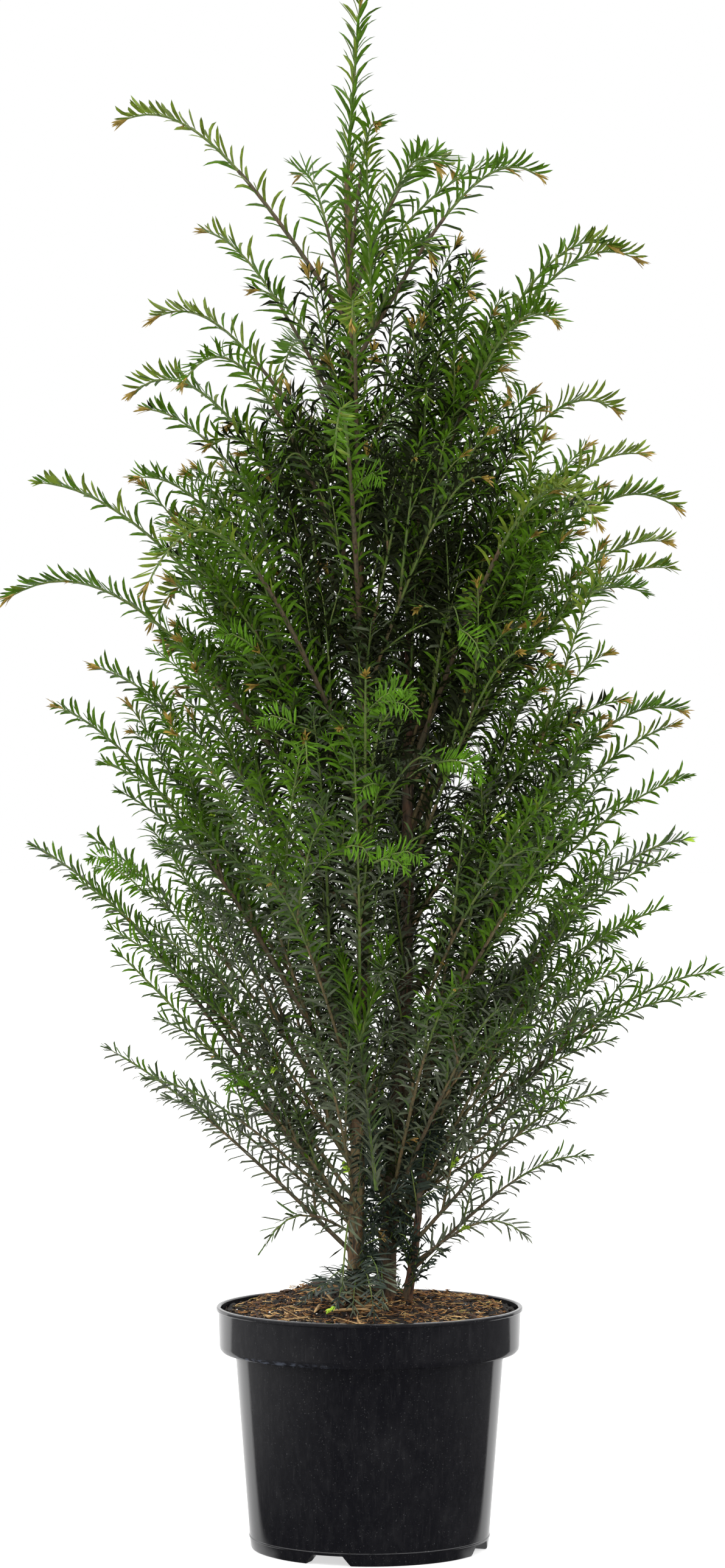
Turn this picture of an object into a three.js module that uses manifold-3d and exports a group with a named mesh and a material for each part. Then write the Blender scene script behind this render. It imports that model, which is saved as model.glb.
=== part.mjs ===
// English yew in a black nursery pot: three stems, the boughs they carry and masses of needled shoots.
// Millimetres, +Z up. The origin is the middle of the pot's flat underside.
// Headings are degrees about +Z: 0 points to +X (right), 90 to +Y (back), 180 to -X, 270 to -Y (front).
import * as THREE from 'three';
import { mergeVertices } from 'three/addons/utils/BufferGeometryUtils.js';
import Module from 'manifold-3d';

const wasm = await Module();
wasm.setup();

// ---- Driving dimensions ----

const GAP = 0.3; // between pieces that bear on each other

// A ten-litre container: a tapering wall on a foot ring, and a deep band under the rim.
const POT = {
  height: 220,
  rimRadius: 140,
  lipHeight: 3.5,
  bandRadius: 138,
  bandFoot: 176,
  bandRound: 3,
  wallTopRadius: 122.5,
  baseRadius: 108.5,
  baseRound: 1.5,
  wall: 2.2,
  floor: 3,
  ringWidth: 16,
  recess: 9,
  hubRadius: 45,
  segments: 32,
};
const NOTCH = { count: 4, first: 249.5, topWidth: 29, footWidth: 43 };

// The compost: nearly level at the wall, drawn up round the stems and heaped behind them on the left.
const SOIL = { edgeHeight: 209, rings: [0.7, 0.35] };
const HEAPS = [
  { x: -25, y: 15, rise: 21, spread: 60 },
  { x: -42, y: 45, rise: 9, spread: 28 },
];

// Stems, from a flat cut just under the compost to the tip. `lean` holds [x, y] of the stem's middle at
// equal steps of height, `radius` is the wood at foot and top, and `flare` what the foot adds at ground level.
const STEMS = {
  main: {
    foot: 224, top: 1250, radius: [6.2, 2.2], flare: 3.4, sides: 7, rings: 13,
    lean: [[-13.5, -8], [-9.5, -12], [-3.8, -11], [-4.9, -7], [-10, -7], [-16.5, -9], [-20.6, -8]],
  },
  second: {
    foot: 222, top: 1050, radius: [8.2, 2], flare: 4.2, sides: 8, rings: 11,
    lean: [[14, 15], [24, 18], [34, 20], [35.5, 22], [38.5, 24], [44, 26]],
  },
  low: {
    foot: 218, top: 392, radius: [4.2, 2.6], flare: 2.2, sides: 6, rings: 6,
    lean: [[33, 1], [42, -4], [47, -8], [59, -10]],
  },
};
const FLARE_HEIGHT = 13; // over which the flare dies away
const DROOP = 2.4; // the power of the way out at which a limb sags, so that it bends over most at its tip

// How wood thins out: the radius of a bough at its root grows with its length.
const WOOD = { sides: 5, rings: 4, rootRadius: 1.3, perLength: 0.0085, tipRadius: 1 };

// A shoot's slim core, and the needles that stand out of it in three ranks: two at `ranks` degrees from up on
// either side, the third below. `lean` is how far a needle points on towards the tip, as a share of its reach.
const SHOOT = { pitch: 16.4, needle: 27, lean: 0.85, core: 1.7, tip: 0.9, ranks: 65 };

// Side shoots leave their mass's line to the left and right in turn, between the shares `first` and `last` of
// it, and rise more the nearer they start. Each is `bare` at its root, and takes the share `length` of the
// mass's own length, which `taper` cuts towards its tip.
const SIDE = {
  bare: 0.34, first: 0.05, last: 0.82, turn: [24, 48], rise: 66, riseLoss: 28, riseSpread: 22,
  length: [0.42, 0.58], taper: [1.12, 0.5], sag: [0.34, 0.54], bend: 0.08, roll: 30,
};

// A mass keeps to its own space: no higher than its tip by more than `above`, no further out than its reach by
// more than `beyond`, and `clear` of every limb and every other mass. A leading shoot tries an ever longer
// `bare` root for that, and a side shoot tries shorter `lengths` and other `turns` of its heading.
const SPACE = {
  above: 12, beyond: 4, clear: 1.2,
  bare: [0.28, 0.36, 0.44, 0.55], lengths: [1, 0.8, 0.62], turns: [0, 10, -10, 20],
};

// Boughs and masses: the stem, foot height, heading, reach and height of the tip, the rise at the foot,
// where the bare bough ends as a share of its length (0: the mass starts on the stem), and the side shoots.
const COLUMNS = ['stem', 'foot', 'heading', 'reach', 'tip', 'rise', 'bareTo', 'shoots'];
const CROWN = {
  leader: ['main', 1250 + GAP, 10, 12, 1412, 85.8, 0, 0],
  top_left: ['main', 1115, 184, 205, 1301, 52, 0.3, 3],
  top_front: ['main', 1165, 292, 62, 1290, 72, 0, 2],
  top_right: ['main', 1075, 350, 172, 1248, 60, 0, 2],
  top_right_back: ['main', 1140, 35, 118, 1262, 64, 0, 2],
  top_back: ['main', 1100, 118, 100, 1265, 68, 0, 2],
  high_left: ['main', 1010, 166, 140, 1205, 62, 0, 3],
  high_right: ['second', 985, 358, 202, 1180, 58, 0, 4],
  shoulder_left: ['main', 945, 186, 183, 1121, 58, 0, 4],
  shoulder_left_back: ['main', 835, 160, 225, 1062, 60, 0, 4],
  shoulder_left_front: ['main', 872, 222, 210, 1050, 60, 0, 3],
  shoulder_front: ['main', 905, 268, 170, 1100, 66, 0, 3],
  shoulder_right_front: ['second', 925, 318, 170, 1110, 62, 0, 2],
  shoulder_right: ['second', 850, 8, 192, 1043, 60, 0, 3],
  shoulder_back_right: ['second', 880, 62, 205, 1075, 62, 0, 3],
  shoulder_back: ['main', 885, 112, 200, 1085, 64, 0, 3],
  waist_left: ['main', 735, 186, 296, 970, 55, 0.3, 3],
  waist_left_low: ['main', 612, 176, 328, 868, 56, 0.3, 4],
  waist_left_front: ['main', 690, 226, 275, 865, 58, 0, 3],
  waist_front: ['main', 790, 264, 235, 975, 62, 0, 3],
  waist_right_front: ['second', 700, 308, 265, 925, 60, 0, 3],
  waist_right: ['second', 735, 356, 245, 951, 57, 0.3, 4],
  waist_right_low: ['second', 650, 14, 228, 875, 58, 0, 4],
  waist_back_right: ['second', 757, 48, 255, 950, 58, 0, 3],
  waist_back: ['second', 815, 94, 235, 1000, 62, 0, 2],
  waist_back_left: ['main', 650, 138, 275, 850, 58, 0, 3],
  skirt_left: ['main', 545, 187, 280, 767, 54, 0.3, 4],
  skirt_left_low: ['main', 450, 178, 300, 640, 50, 0.3, 3],
  skirt_left_front: ['main', 515, 232, 265, 740, 60, 0, 3],
  skirt_front: ['main', 590, 270, 240, 790, 60, 0, 3],
  skirt_right_front: ['second', 465, 306, 265, 660, 57, 0, 3],
  skirt_right: ['second', 560, 3, 252, 765, 54, 0.3, 4],
  skirt_right_low: ['second', 455, 352, 262, 646, 50, 0, 4],
  skirt_back: ['second', 590, 88, 255, 790, 60, 0, 3],
  skirt_back_left: ['main', 410, 138, 260, 640, 60, 0, 3],
  hem_left_high: ['main', 395, 190, 222, 546, 50, 0, 3],
  hem_left: ['main', 320, 180, 226, 455, 46, 0.3, 3],
  hem_left_low: ['main', 285, 200, 90, 276, 30, 0, 1],
  hem_right: ['second', 350, 4, 300, 523, 45, 0.3, 4],
  hem_right_low: ['low', 315, 345, 170, 417, 52, 0, 3],
  hem_right_mid: ['low', 288, 20, 168, 352, 46, 0, 2],
  hem_right_foot: ['low', 258, 348, 106, 285, 38, 0, 1],
  hem_front: ['second', 290, 246, 110, 560, 74, 0, 3],
  hem_back: ['second', 355, 84, 215, 520, 54, 0, 3],
  hem_front_right: ['second', 372, 300, 185, 500, 55, 0, 3],
  foot_front: ['main', 300, 258, 62, 240, 20, 0, 1],
};

// ---- Curves ----

const UP = new THREE.Vector3(0, 0, 1);
const radians = THREE.MathUtils.degToRad;

/** Numbers from 0 to 1, one after another, the same for the same seed. */
function seeded(seed) {
  let state = seed >>> 0;
  return () => {
    state = (Math.imul(state, 1664525) + 1013904223) >>> 0;
    return state / 4294967296;
  };
}

/** A limb in flight: it leaves its root at a heading and a rise, and sags and bends sideways on its way out. */
class Arch extends THREE.Curve {
  constructor({ root, heading, rise, length, sag, bend = 0 }) {
    super();
    const level = new THREE.Vector3(Math.cos(heading), Math.sin(heading), 0);
    this.root = root;
    this.heading = heading;
    this.out = level.multiplyScalar(Math.cos(rise)).addScaledVector(UP, Math.sin(rise));
    this.side = new THREE.Vector3(Math.sin(heading), -Math.cos(heading), 0);
    this.length = length;
    this.sag = sag;
    this.bend = bend;
  }

  getPoint(t, target = new THREE.Vector3()) {
    return target
      .copy(this.root)
      .addScaledVector(this.out, this.length * t)
      .addScaledVector(this.side, this.bend * this.length * t * t)
      .addScaledVector(UP, -this.sag * this.length * t ** DROOP);
  }
}

/** The middle line of a stem. Its points are at equal steps of height, so `t` is a share of its height too. */
function stemCurve({ foot, top, lean }) {
  const step = (top - foot) / (lean.length - 1);
  const points = lean.map(([x, y], i) => new THREE.Vector3(x, y, foot + step * i));
  const curve = new THREE.CatmullRomCurve3(points, false, 'catmullrom', 0.5);
  curve.side = new THREE.Vector3(1, 0, 0);
  return curve;
}

/** Along, side and up vectors of a curve at `t`, turned about the curve by `roll`. */
function frameAt(curve, t, roll = 0) {
  const along = curve.getTangent(t);
  const side = curve.side.clone().addScaledVector(along, -curve.side.dot(along)).normalize();
  side.applyAxisAngle(along, roll);
  return { along, side, up: side.clone().cross(along) };
}

// ---- Solids ----

/** A three.js geometry as a solid that can be joined and cut. */
function solidOf(geometry) {
  const bare = geometry.clone();
  bare.deleteAttribute('normal');
  bare.deleteAttribute('uv');
  const merged = mergeVertices(bare, 1e-4);
  return new wasm.Manifold(new wasm.Mesh({
    numProp: 3,
    vertProperties: merged.attributes.position.array,
    triVerts: new Uint32Array(merged.index.array),
  }));
}

/** A solid as a three.js geometry. */
function geometryOf(solid) {
  const { vertProperties, triVerts } = solid.getMesh();
  const geometry = new THREE.BufferGeometry();
  geometry.setAttribute('position', new THREE.BufferAttribute(vertProperties, 3));
  geometry.setIndex(new THREE.BufferAttribute(triVerts, 1));
  geometry.computeVertexNormals();
  return geometry;
}

/** The largest closed body of a solid, without the scraps that a cut leaves. */
function mainBody(solid) {
  return solid.decompose().reduce((best, body) => (body.volume() > best.volume() ? body : best));
}

/**
 * A closed tube bent along a curve, with a ring of corners at each of the shares `rings` of the curve. The
 * corners stand at the angles `corners` (degrees from up, towards the side). `shape(ring, corner)` gives how
 * far a corner stands out from the curve, and how far it leans on along it.
 */
function bentTube(curve, { rings, corners, pointed = false, roll = 0, shape }) {
  const last = rings.length - 1;
  const tube = new THREE.CylinderGeometry(pointed ? 0 : 1, 1, 1, corners.length, last);
  const position = tube.attributes.position;
  const step = (2 * Math.PI) / corners.length;
  for (let i = 0; i < position.count; i += 1) {
    const ring = Math.round((position.getY(i) + 0.5) * last);
    const place = curve.getPoint(rings[ring]);
    const [x, z] = [position.getX(i), position.getZ(i)];
    if (Math.hypot(x, z) > 1e-6) {
      const corner = (Math.round(Math.atan2(x, z) / step) + corners.length) % corners.length;
      const { along, side, up } = frameAt(curve, rings[ring], roll);
      const { out, on = 0 } = shape(ring, corner);
      const angle = radians(corners[corner]);
      place
        .addScaledVector(up, out * Math.cos(angle))
        .addScaledVector(side, out * Math.sin(angle))
        .addScaledVector(along, on);
    }
    position.setXYZ(i, place.x, place.y, place.z);
  }
  return solidOf(tube);
}

/** Numbers from `from` to `to` in `count` even steps. */
function steps(from, to, count) {
  return Array.from({ length: count + 1 }, (_, i) => from + ((to - from) * i) / count);
}

/** Angles of `count` corners spread evenly round a section. */
function evenly(count) {
  return Array.from({ length: count }, (_, i) => (i * 360) / count);
}

// ---- Pot and compost ----

/** The pot's outline, from the middle of its underside up the outside, over the lip and down to its floor. */
function potOutline() {
  const ringInner = POT.baseRadius - POT.ringWidth;
  const bandInner = POT.bandRadius - POT.wall;
  return [
    [0, 0],
    [POT.hubRadius, 0],
    [POT.hubRadius + 2, POT.recess],
    [ringInner - 2, POT.recess],
    [ringInner, 0],
    [POT.baseRadius - POT.baseRound, 0],
    [POT.baseRadius, POT.baseRound],
    [POT.wallTopRadius, POT.bandFoot],
    [POT.bandRadius - POT.bandRound - 1, POT.bandFoot],
    [POT.bandRadius - 1, POT.bandFoot + POT.bandRound],
    [POT.bandRadius, POT.height - POT.lipHeight],
    [POT.rimRadius, POT.height - POT.lipHeight],
    [POT.rimRadius, POT.height],
    [bandInner, POT.height],
    [bandInner - 1, POT.bandFoot + POT.wall],
    [POT.wallTopRadius - POT.wall, POT.bandFoot + POT.wall],
    [POT.baseRadius - POT.wall, POT.recess + POT.floor],
    [0, POT.recess + POT.floor],
  ];
}

/** A turned solid about +Z from an outline of [radius, height] points. */
function turned(outline) {
  const points = outline.map(([radius, height]) => new THREE.Vector2(radius, height));
  return new THREE.LatheGeometry(points, POT.segments).rotateX(Math.PI / 2);
}

/** One drain notch: a block with sloping ends that crosses the foot ring, as deep as the recess. */
function drainNotch(heading) {
  const [top, foot] = [NOTCH.topWidth / 2, NOTCH.footWidth / 2];
  const profile = new THREE.Shape();
  profile.moveTo(-foot, -1);
  profile.lineTo(foot, -1);
  profile.lineTo(foot, 0);
  profile.lineTo(top, POT.recess);
  profile.lineTo(-top, POT.recess);
  profile.lineTo(-foot, 0);
  const reach = POT.ringWidth + 6;
  return solidOf(
    new THREE.ExtrudeGeometry(profile, { depth: reach, bevelEnabled: false })
      .rotateX(Math.PI / 2)
      .rotateZ(-Math.PI / 2)
      .translate(POT.baseRadius + 3, 0, 0)
      .rotateZ(radians(heading)),
  );
}

function makePot() {
  let pot = solidOf(turned(potOutline()));
  for (let i = 0; i < NOTCH.count; i += 1) {
    pot = pot.subtract(drainNotch(NOTCH.first + (i * 360) / NOTCH.count));
  }
  return pot;
}

/** Height of the compost at [x, y]. */
function soilHeight(x, y) {
  return HEAPS.reduce((height, heap) => {
    const away = Math.hypot(x - heap.x, y - heap.y) / heap.spread;
    return height + heap.rise * Math.exp((-away * away) / 2);
  }, SOIL.edgeHeight);
}

/** The compost fills the pot, and each stem's foot sits in it as deep as its flat cut. */
function makeSoil(stemsWithGap) {
  const floor = POT.recess + POT.floor + GAP;
  const shoulder = POT.bandFoot + POT.wall + GAP;
  const wallTop = POT.wallTopRadius - POT.wall - GAP;
  const edge = POT.bandRadius - POT.wall - 1 - GAP;
  const outline = [
    [0, floor],
    [POT.baseRadius - POT.wall - GAP, floor],
    [wallTop, shoulder],
    [edge, shoulder],
    [edge, SOIL.edgeHeight],
    ...SOIL.rings.map((share) => [edge * share, SOIL.edgeHeight]),
    [0, SOIL.edgeHeight],
  ];
  const heap = turned(outline);
  const position = heap.attributes.position;
  for (let i = 0; i < position.count; i += 1) {
    if (position.getZ(i) > SOIL.edgeHeight - 1) {
      position.setZ(i, soilHeight(position.getX(i), position.getY(i)));
    }
  }
  return stemsWithGap.reduce((soil, stem) => soil.subtract(stem), solidOf(heap));
}

// ---- Wood ----

/** A stem from its flat cut to its tip. `gap` swells it into the solid that cuts its neighbours clear. */
function makeStem(name, gap = 0) {
  const { foot, top, radius, flare, sides, rings } = STEMS[name];
  const curve = stemCurve({ ...STEMS[name], foot: foot - gap });
  const heights = steps(0, 1, rings);
  return bentTube(curve, {
    rings: heights,
    corners: evenly(sides),
    shape: (ring) => {
      const t = heights[ring];
      const flared = flare * Math.exp((-t * (top - foot)) / FLARE_HEIGHT);
      return { out: THREE.MathUtils.lerp(radius[0], radius[1], t) + flared + gap };
    },
  });
}

/** The line that a bough and its mass follow, from the middle of its stem to the tip. */
function massLine({ stem, foot, heading, reach, tip, rise }) {
  const share = (foot - STEMS[stem].foot) / (STEMS[stem].top - STEMS[stem].foot);
  const root = stemCurve(STEMS[stem]).getPoint(Math.min(share, 1)).setZ(foot);
  const length = reach / Math.cos(radians(rise));
  const sag = (foot + reach * Math.tan(radians(rise)) - tip) / length;
  return new Arch({ root, heading: radians(heading), rise: radians(rise), length, sag });
}

/** Radius of the wood at `t` of a mass's line. */
function woodRadius(line, t) {
  return THREE.MathUtils.lerp(WOOD.rootRadius + WOOD.perLength * line.length, WOOD.tipRadius, t);
}

/** A bare bough from the middle of its stem to where its mass begins. */
function makeBough(line, bareTo) {
  const rings = steps(0, bareTo, WOOD.rings);
  return bentTube(line, {
    rings,
    corners: evenly(WOOD.sides),
    shape: (ring) => ({ out: woodRadius(line, rings[ring]) }),
  });
}

// ---- Needled shoots ----

/**
 * A shoot from `from` of its line to the tip: a three-sided core that one needle stands out of at each ring, on
 * the three corners in turn. Needles lean towards the tip and are shorter at both ends. They leave room for the
 * side shoots that start at the shares `forks` of the line. `clear` swells the whole shoot.
 */
function makeShoot({ line, from = 0, bare, core, roll = 0, forks = [] }, clear = 0) {
  const first = from + bare * (1 - from);
  const pitch = (1 - first) / Math.max(4, Math.round((line.length * (1 - first)) / SHOOT.pitch));
  const needled = steps(first, 1, Math.round((1 - first) / pitch));
  const rings = [...new Set([from, Math.max(from, first - pitch), ...needled])];
  return bentTube(line, {
    rings,
    corners: [SHOOT.ranks, 180, 360 - SHOOT.ranks],
    pointed: true,
    roll,
    shape: (ring, corner) => {
      const t = rings[ring];
      const bareHere = t < first || forks.some((fork) => Math.abs(fork - t) < pitch * 0.8);
      if (bareHere || corner !== (3 - (ring % 3)) % 3) {
        return { out: THREE.MathUtils.lerp(core, SHOOT.tip, (t - from) / (1 - from)) + clear };
      }
      const share = (t - from) / (1 - from);
      const length = SHOOT.needle * (0.6 + 0.4 * Math.sin(Math.PI * Math.min(1, share + 0.1))) + clear;
      return { out: length, on: length * SHOOT.lean };
    },
  });
}

/** The side shoots that a mass tries to grow, left and right of its line in turn. */
function sideShoots({ line, from, shoots, random }) {
  const between = ([low, high]) => low + (high - low) * random();
  const either = (spread) => between([-spread, spread]);
  return steps(0, 1, shoots).slice(0, shoots).map((share, i) => {
    const start = share + (0.35 * random()) / shoots;
    const t = from + SIDE.first + (SIDE.last - from) * start;
    const turn = radians((i % 2 ? 1 : -1) * between(SIDE.turn));
    const rise = radians(SIDE.rise - SIDE.riseLoss * t + either(SIDE.riseSpread / 2));
    const length = line.length * (1 - from) * between(SIDE.length) * (SIDE.taper[0] - SIDE.taper[1] * t);
    return {
      fork: t,
      root: line.getPoint(t),
      heading: line.heading + turn,
      rise,
      length,
      sag: between(SIDE.sag),
      bend: either(SIDE.bend),
      core: Math.min(woodRadius(line, t), SHOOT.core),
      roll: radians(either(SIDE.roll)),
    };
  });
}

// ---- Growth ----

/** True if two solids share any space. Their boxes are compared first, because most pairs are far apart. */
function meets(a, b) {
  const [p, q] = [a.boundingBox(), b.boundingBox()];
  const apart = [0, 1, 2].some((axis) => p.min[axis] > q.max[axis] || q.min[axis] > p.max[axis]);
  return !apart && !a.intersect(b).isEmpty();
}

/** True if a shoot's tip is in the space of its mass. */
function keepsToSpace(shoot, mass) {
  const tip = shoot.getPoint(1);
  const out = Math.hypot(tip.x - mass.line.root.x, tip.y - mass.line.root.y);
  return tip.z < mass.tip + SPACE.above && out < mass.reach + SPACE.beyond;
}

/**
 * Starts a mass with its leading shoot, from its bough's tip or its stem's bark. The shoot stays bare as far as
 * its needles would touch something else.
 */
function growLeading(mass, others) {
  mass.from = mass.bareTo > 0 ? mass.bareTo + GAP / mass.line.length : 0;
  mass.sides = sideShoots(mass);
  const forks = mass.sides.map((side) => side.fork);
  const core = woodRadius(mass.line, mass.from);
  for (const bare of SPACE.bare) {
    const leading = makeShoot({ line: mass.line, from: mass.from, bare, core, forks });
    mass.solid = mass.bareTo > 0 ? leading : mainBody(leading.subtract(cutters[mass.stem]));
    if (!others.some((other) => meets(mass.solid, other))) return;
  }
  throw new Error(`mass_${mass.name} has no room for its leading shoot`);
}

/**
 * Adds a side shoot to its mass in the first of a few lengths and headings that leaves the others clear, and
 * whose needles leave their own mass clear too. Skips it if there is none.
 */
function growSide(mass, size, others) {
  for (const share of SPACE.lengths) {
    for (const turn of SPACE.turns) {
      const line = new Arch({ ...size, length: size.length * share, heading: size.heading + radians(turn) });
      const shoot = { ...size, line, bare: SIDE.bare };
      if (!keepsToSpace(line, mass)) continue;
      if (meets(makeShoot({ ...shoot, from: SIDE.bare, bare: 0 }), mass.solid)) continue;
      const space = makeShoot(shoot, SPACE.clear);
      if (others.some((other) => meets(space, other))) continue;
      mass.solid = mass.solid.add(makeShoot(shoot));
      return;
    }
  }
}

const masses = Object.entries(CROWN).map(([name, row], index) => {
  const size = Object.fromEntries(COLUMNS.map((column, i) => [column, row[i]]));
  return { name, ...size, line: massLine(size), random: seeded(index * 7919 + 101) };
});

const names = Object.keys(STEMS);
const stems = Object.fromEntries(names.map((name) => [name, makeStem(name)]));
const cutters = Object.fromEntries(names.map((name) => [name, makeStem(name, GAP)]));
const pot = makePot();
const soil = makeSoil(Object.values(cutters));
const boughs = masses
  .filter((mass) => mass.bareTo > 0)
  .map((mass) => ({
    name: mass.name,
    solid: mainBody(makeBough(mass.line, mass.bareTo).subtract(cutters[mass.stem])),
  }));
const limbs = [pot, soil, ...Object.values(stems), ...boughs.map((bough) => bough.solid)];

// Every mass first gets its leading shoot.
masses.forEach((mass, i) => {
  growLeading(mass, [...limbs, ...masses.slice(0, i).map((each) => each.solid)]);
});

// Then the masses take turns, one side shoot each in a round, while there is room.
const rounds = Math.max(...masses.map((mass) => mass.shoots));
for (let round = 0; round < rounds; round += 1) {
  for (const mass of masses.filter((each) => round < each.shoots)) {
    const others = masses.filter((each) => each !== mass).map((each) => each.solid);
    growSide(mass, mass.sides[round], [...limbs, ...others]);
  }
}

// ---- Assembly ----

const FINISH = {
  pot: { color: 0x26262a, roughness: 0.4 },
  soil: { color: 0x3d2c20, roughness: 0.95 },
  stem: { color: 0x7a6242, roughness: 0.85 },
  bough: { color: 0x6f6238, roughness: 0.8 },
  mass: { color: 0x3c5a26, roughness: 0.6 },
};

/** A named mesh with a material of its own. */
function meshOf(name, solid, finish) {
  const mesh = new THREE.Mesh(geometryOf(solid), new THREE.MeshStandardMaterial({ ...finish, metalness: 0 }));
  mesh.name = name;
  return mesh;
}

const yew = new THREE.Group();
yew.name = 'english_yew_in_pot';
yew.add(meshOf('pot', pot, FINISH.pot));
yew.add(meshOf('soil', soil, FINISH.soil));
for (const name of names) yew.add(meshOf(`stem_${name}`, stems[name], FINISH.stem));
for (const { name, solid } of boughs) yew.add(meshOf(`bough_${name}`, solid, FINISH.bough));
for (const { name, solid } of masses) yew.add(meshOf(`mass_${name}`, solid, FINISH.mass));

export default yew;
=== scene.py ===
"""English yew in a black nursery pot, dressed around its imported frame.

Lengths in the size tables are millimetres and angles are degrees, as on a maker's drawing. Meshes are in metres.
Headings are degrees about +Z: 0 points to +X (right), 90 to +Y (back), 180 to -X, 270 to -Y (front).
"""

import logging
import math
from dataclasses import dataclass, field, replace
from enum import Enum
from typing import Callable, Iterable, Sequence

import bmesh
import bpy
import numpy as np
from mathutils import Matrix, Vector, noise


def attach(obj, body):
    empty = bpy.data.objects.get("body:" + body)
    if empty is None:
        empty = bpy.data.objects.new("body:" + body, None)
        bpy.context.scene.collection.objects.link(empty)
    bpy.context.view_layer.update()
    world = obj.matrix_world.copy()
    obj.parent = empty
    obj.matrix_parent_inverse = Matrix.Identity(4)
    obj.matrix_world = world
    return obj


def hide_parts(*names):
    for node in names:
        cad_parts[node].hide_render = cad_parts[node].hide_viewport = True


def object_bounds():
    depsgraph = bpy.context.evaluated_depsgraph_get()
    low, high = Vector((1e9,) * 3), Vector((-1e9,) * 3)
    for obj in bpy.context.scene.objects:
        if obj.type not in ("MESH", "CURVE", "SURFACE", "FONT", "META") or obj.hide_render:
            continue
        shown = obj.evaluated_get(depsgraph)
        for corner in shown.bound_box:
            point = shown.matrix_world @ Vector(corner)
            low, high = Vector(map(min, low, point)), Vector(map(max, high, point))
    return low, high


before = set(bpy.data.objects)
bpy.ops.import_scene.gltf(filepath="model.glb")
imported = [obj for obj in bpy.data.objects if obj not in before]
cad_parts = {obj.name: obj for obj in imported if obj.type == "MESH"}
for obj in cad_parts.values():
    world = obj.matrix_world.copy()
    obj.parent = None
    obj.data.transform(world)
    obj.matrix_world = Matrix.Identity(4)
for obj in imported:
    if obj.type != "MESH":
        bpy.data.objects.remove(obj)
CAD_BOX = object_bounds()

Pair = tuple[float, float]
Colour = tuple[float, float, float]
Place = tuple[float, float, float]
MM = 0.001
UP = np.array([0.0, 0.0, 1.0])
GOLDEN = 137.5  # degrees from one needle to the next round a shoot
log = logging.getLogger("yew")


# ---- Shader maths ----


class Shade:
    """A shader socket that can be used in Python expressions."""

    def __init__(self, recipe: "Recipe", socket: bpy.types.NodeSocket | None) -> None:
        """Wraps an output socket of one of the recipe's nodes."""
        self.recipe = recipe
        self.socket = socket

    def _math(self, operation: str, first: object, second: object) -> "Shade":
        """Adds a Math node that works on two values."""
        return self.recipe.node("ShaderNodeMath", {"operation": operation}, {0: first, 1: second})

    def __add__(self, other: object) -> "Shade":
        """self + other."""
        return self._math("ADD", self, other)

    def __radd__(self, other: object) -> "Shade":
        """other + self."""
        return self._math("ADD", other, self)

    def __sub__(self, other: object) -> "Shade":
        """self - other."""
        return self._math("SUBTRACT", self, other)

    def __rsub__(self, other: object) -> "Shade":
        """other - self."""
        return self._math("SUBTRACT", other, self)

    def __mul__(self, other: object) -> "Shade":
        """self * other."""
        return self._math("MULTIPLY", self, other)

    def __rmul__(self, other: object) -> "Shade":
        """other * self."""
        return self._math("MULTIPLY", other, self)

    def __abs__(self) -> "Shade":
        """abs(self)."""
        return self.recipe.node("ShaderNodeMath", {"operation": "ABSOLUTE"}, {0: self})


class Recipe:
    """A node tree under construction, for a material or for the world."""

    def __init__(self, tree: bpy.types.NodeTree) -> None:
        """Empties the tree and starts anew."""
        self.tree = tree
        tree.nodes.clear()

    def node(
        self, kind: str, settings: dict | None = None, inputs: dict | None = None, output: int | str = 0,
    ) -> Shade:
        """Adds a node.

        Args:
            kind: Blender's name of the node's type.
            settings: The node's own properties, which are set first.
            inputs: Values or links by the socket's name or number.
            output: The output socket that is returned.

        Returns:
            The output socket, wrapped. An output node, which ends a recipe, has none.
        """
        made = self.tree.nodes.new(kind)
        for key, value in (settings or {}).items():
            setattr(made, key, value)
        for key, value in (inputs or {}).items():
            if isinstance(value, Shade):
                self.tree.links.new(value.socket, made.inputs[key])
            else:
                made.inputs[key].default_value = value
        return Shade(self, made.outputs[output] if made.outputs else None)

    def place(self, stretch: Place = (1.0, 1.0, 1.0)) -> Shade:
        """Object coordinates in metres, stretched."""
        where = self.node("ShaderNodeTexCoord", output="Object")
        return self.node("ShaderNodeMapping", inputs={"Vector": where, "Scale": stretch})

    def axis(self, where: Shade, letter: str) -> Shade:
        """One of a place's three coordinates."""
        return self.node("ShaderNodeSeparateXYZ", inputs={0: where}, output=letter)

    def noise(self, where: Shade, scale: float, detail: float = 3.0, roughness: float = 0.55) -> Shade:
        """Fractal noise between about 0.25 and 0.75."""
        inputs = {"Vector": where, "Scale": scale, "Detail": detail, "Roughness": roughness}
        return self.node("ShaderNodeTexNoise", inputs=inputs, output="Fac")

    def step(self, value: Shade, low: float, high: float) -> Shade:
        """A smooth step from 0 at `low` to 1 at `high`."""
        inputs = {"Value": value, "From Min": low, "From Max": high}
        return self.node("ShaderNodeMapRange", {"interpolation_type": "SMOOTHSTEP"}, inputs)

    def mix(self, share: Shade | float, first: object, second: object) -> Shade:
        """A colour between two colours."""
        inputs = {0: share, 6: self._opaque(first), 7: self._opaque(second)}
        return self.node("ShaderNodeMix", {"data_type": "RGBA", "blend_type": "MIX"}, inputs, output=2)

    @staticmethod
    def _opaque(colour: object) -> object:
        """A plain colour with its alpha, or a link as it is."""
        return colour if isinstance(colour, Shade) else (*colour, 1.0)

    def bump(self, height: Shade, distance: float, strength: float = 1.0) -> Shade:
        """A normal from a height in units of `distance` metres."""
        inputs = {"Height": height, "Distance": distance, "Strength": strength}
        return self.node("ShaderNodeBump", inputs=inputs, output="Normal")

    def surface(self, inputs: dict) -> None:
        """Ends the recipe with a Principled surface."""
        shader = self.node("ShaderNodeBsdfPrincipled", inputs=inputs)
        self.node("ShaderNodeOutputMaterial", inputs={"Surface": shader})


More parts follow.
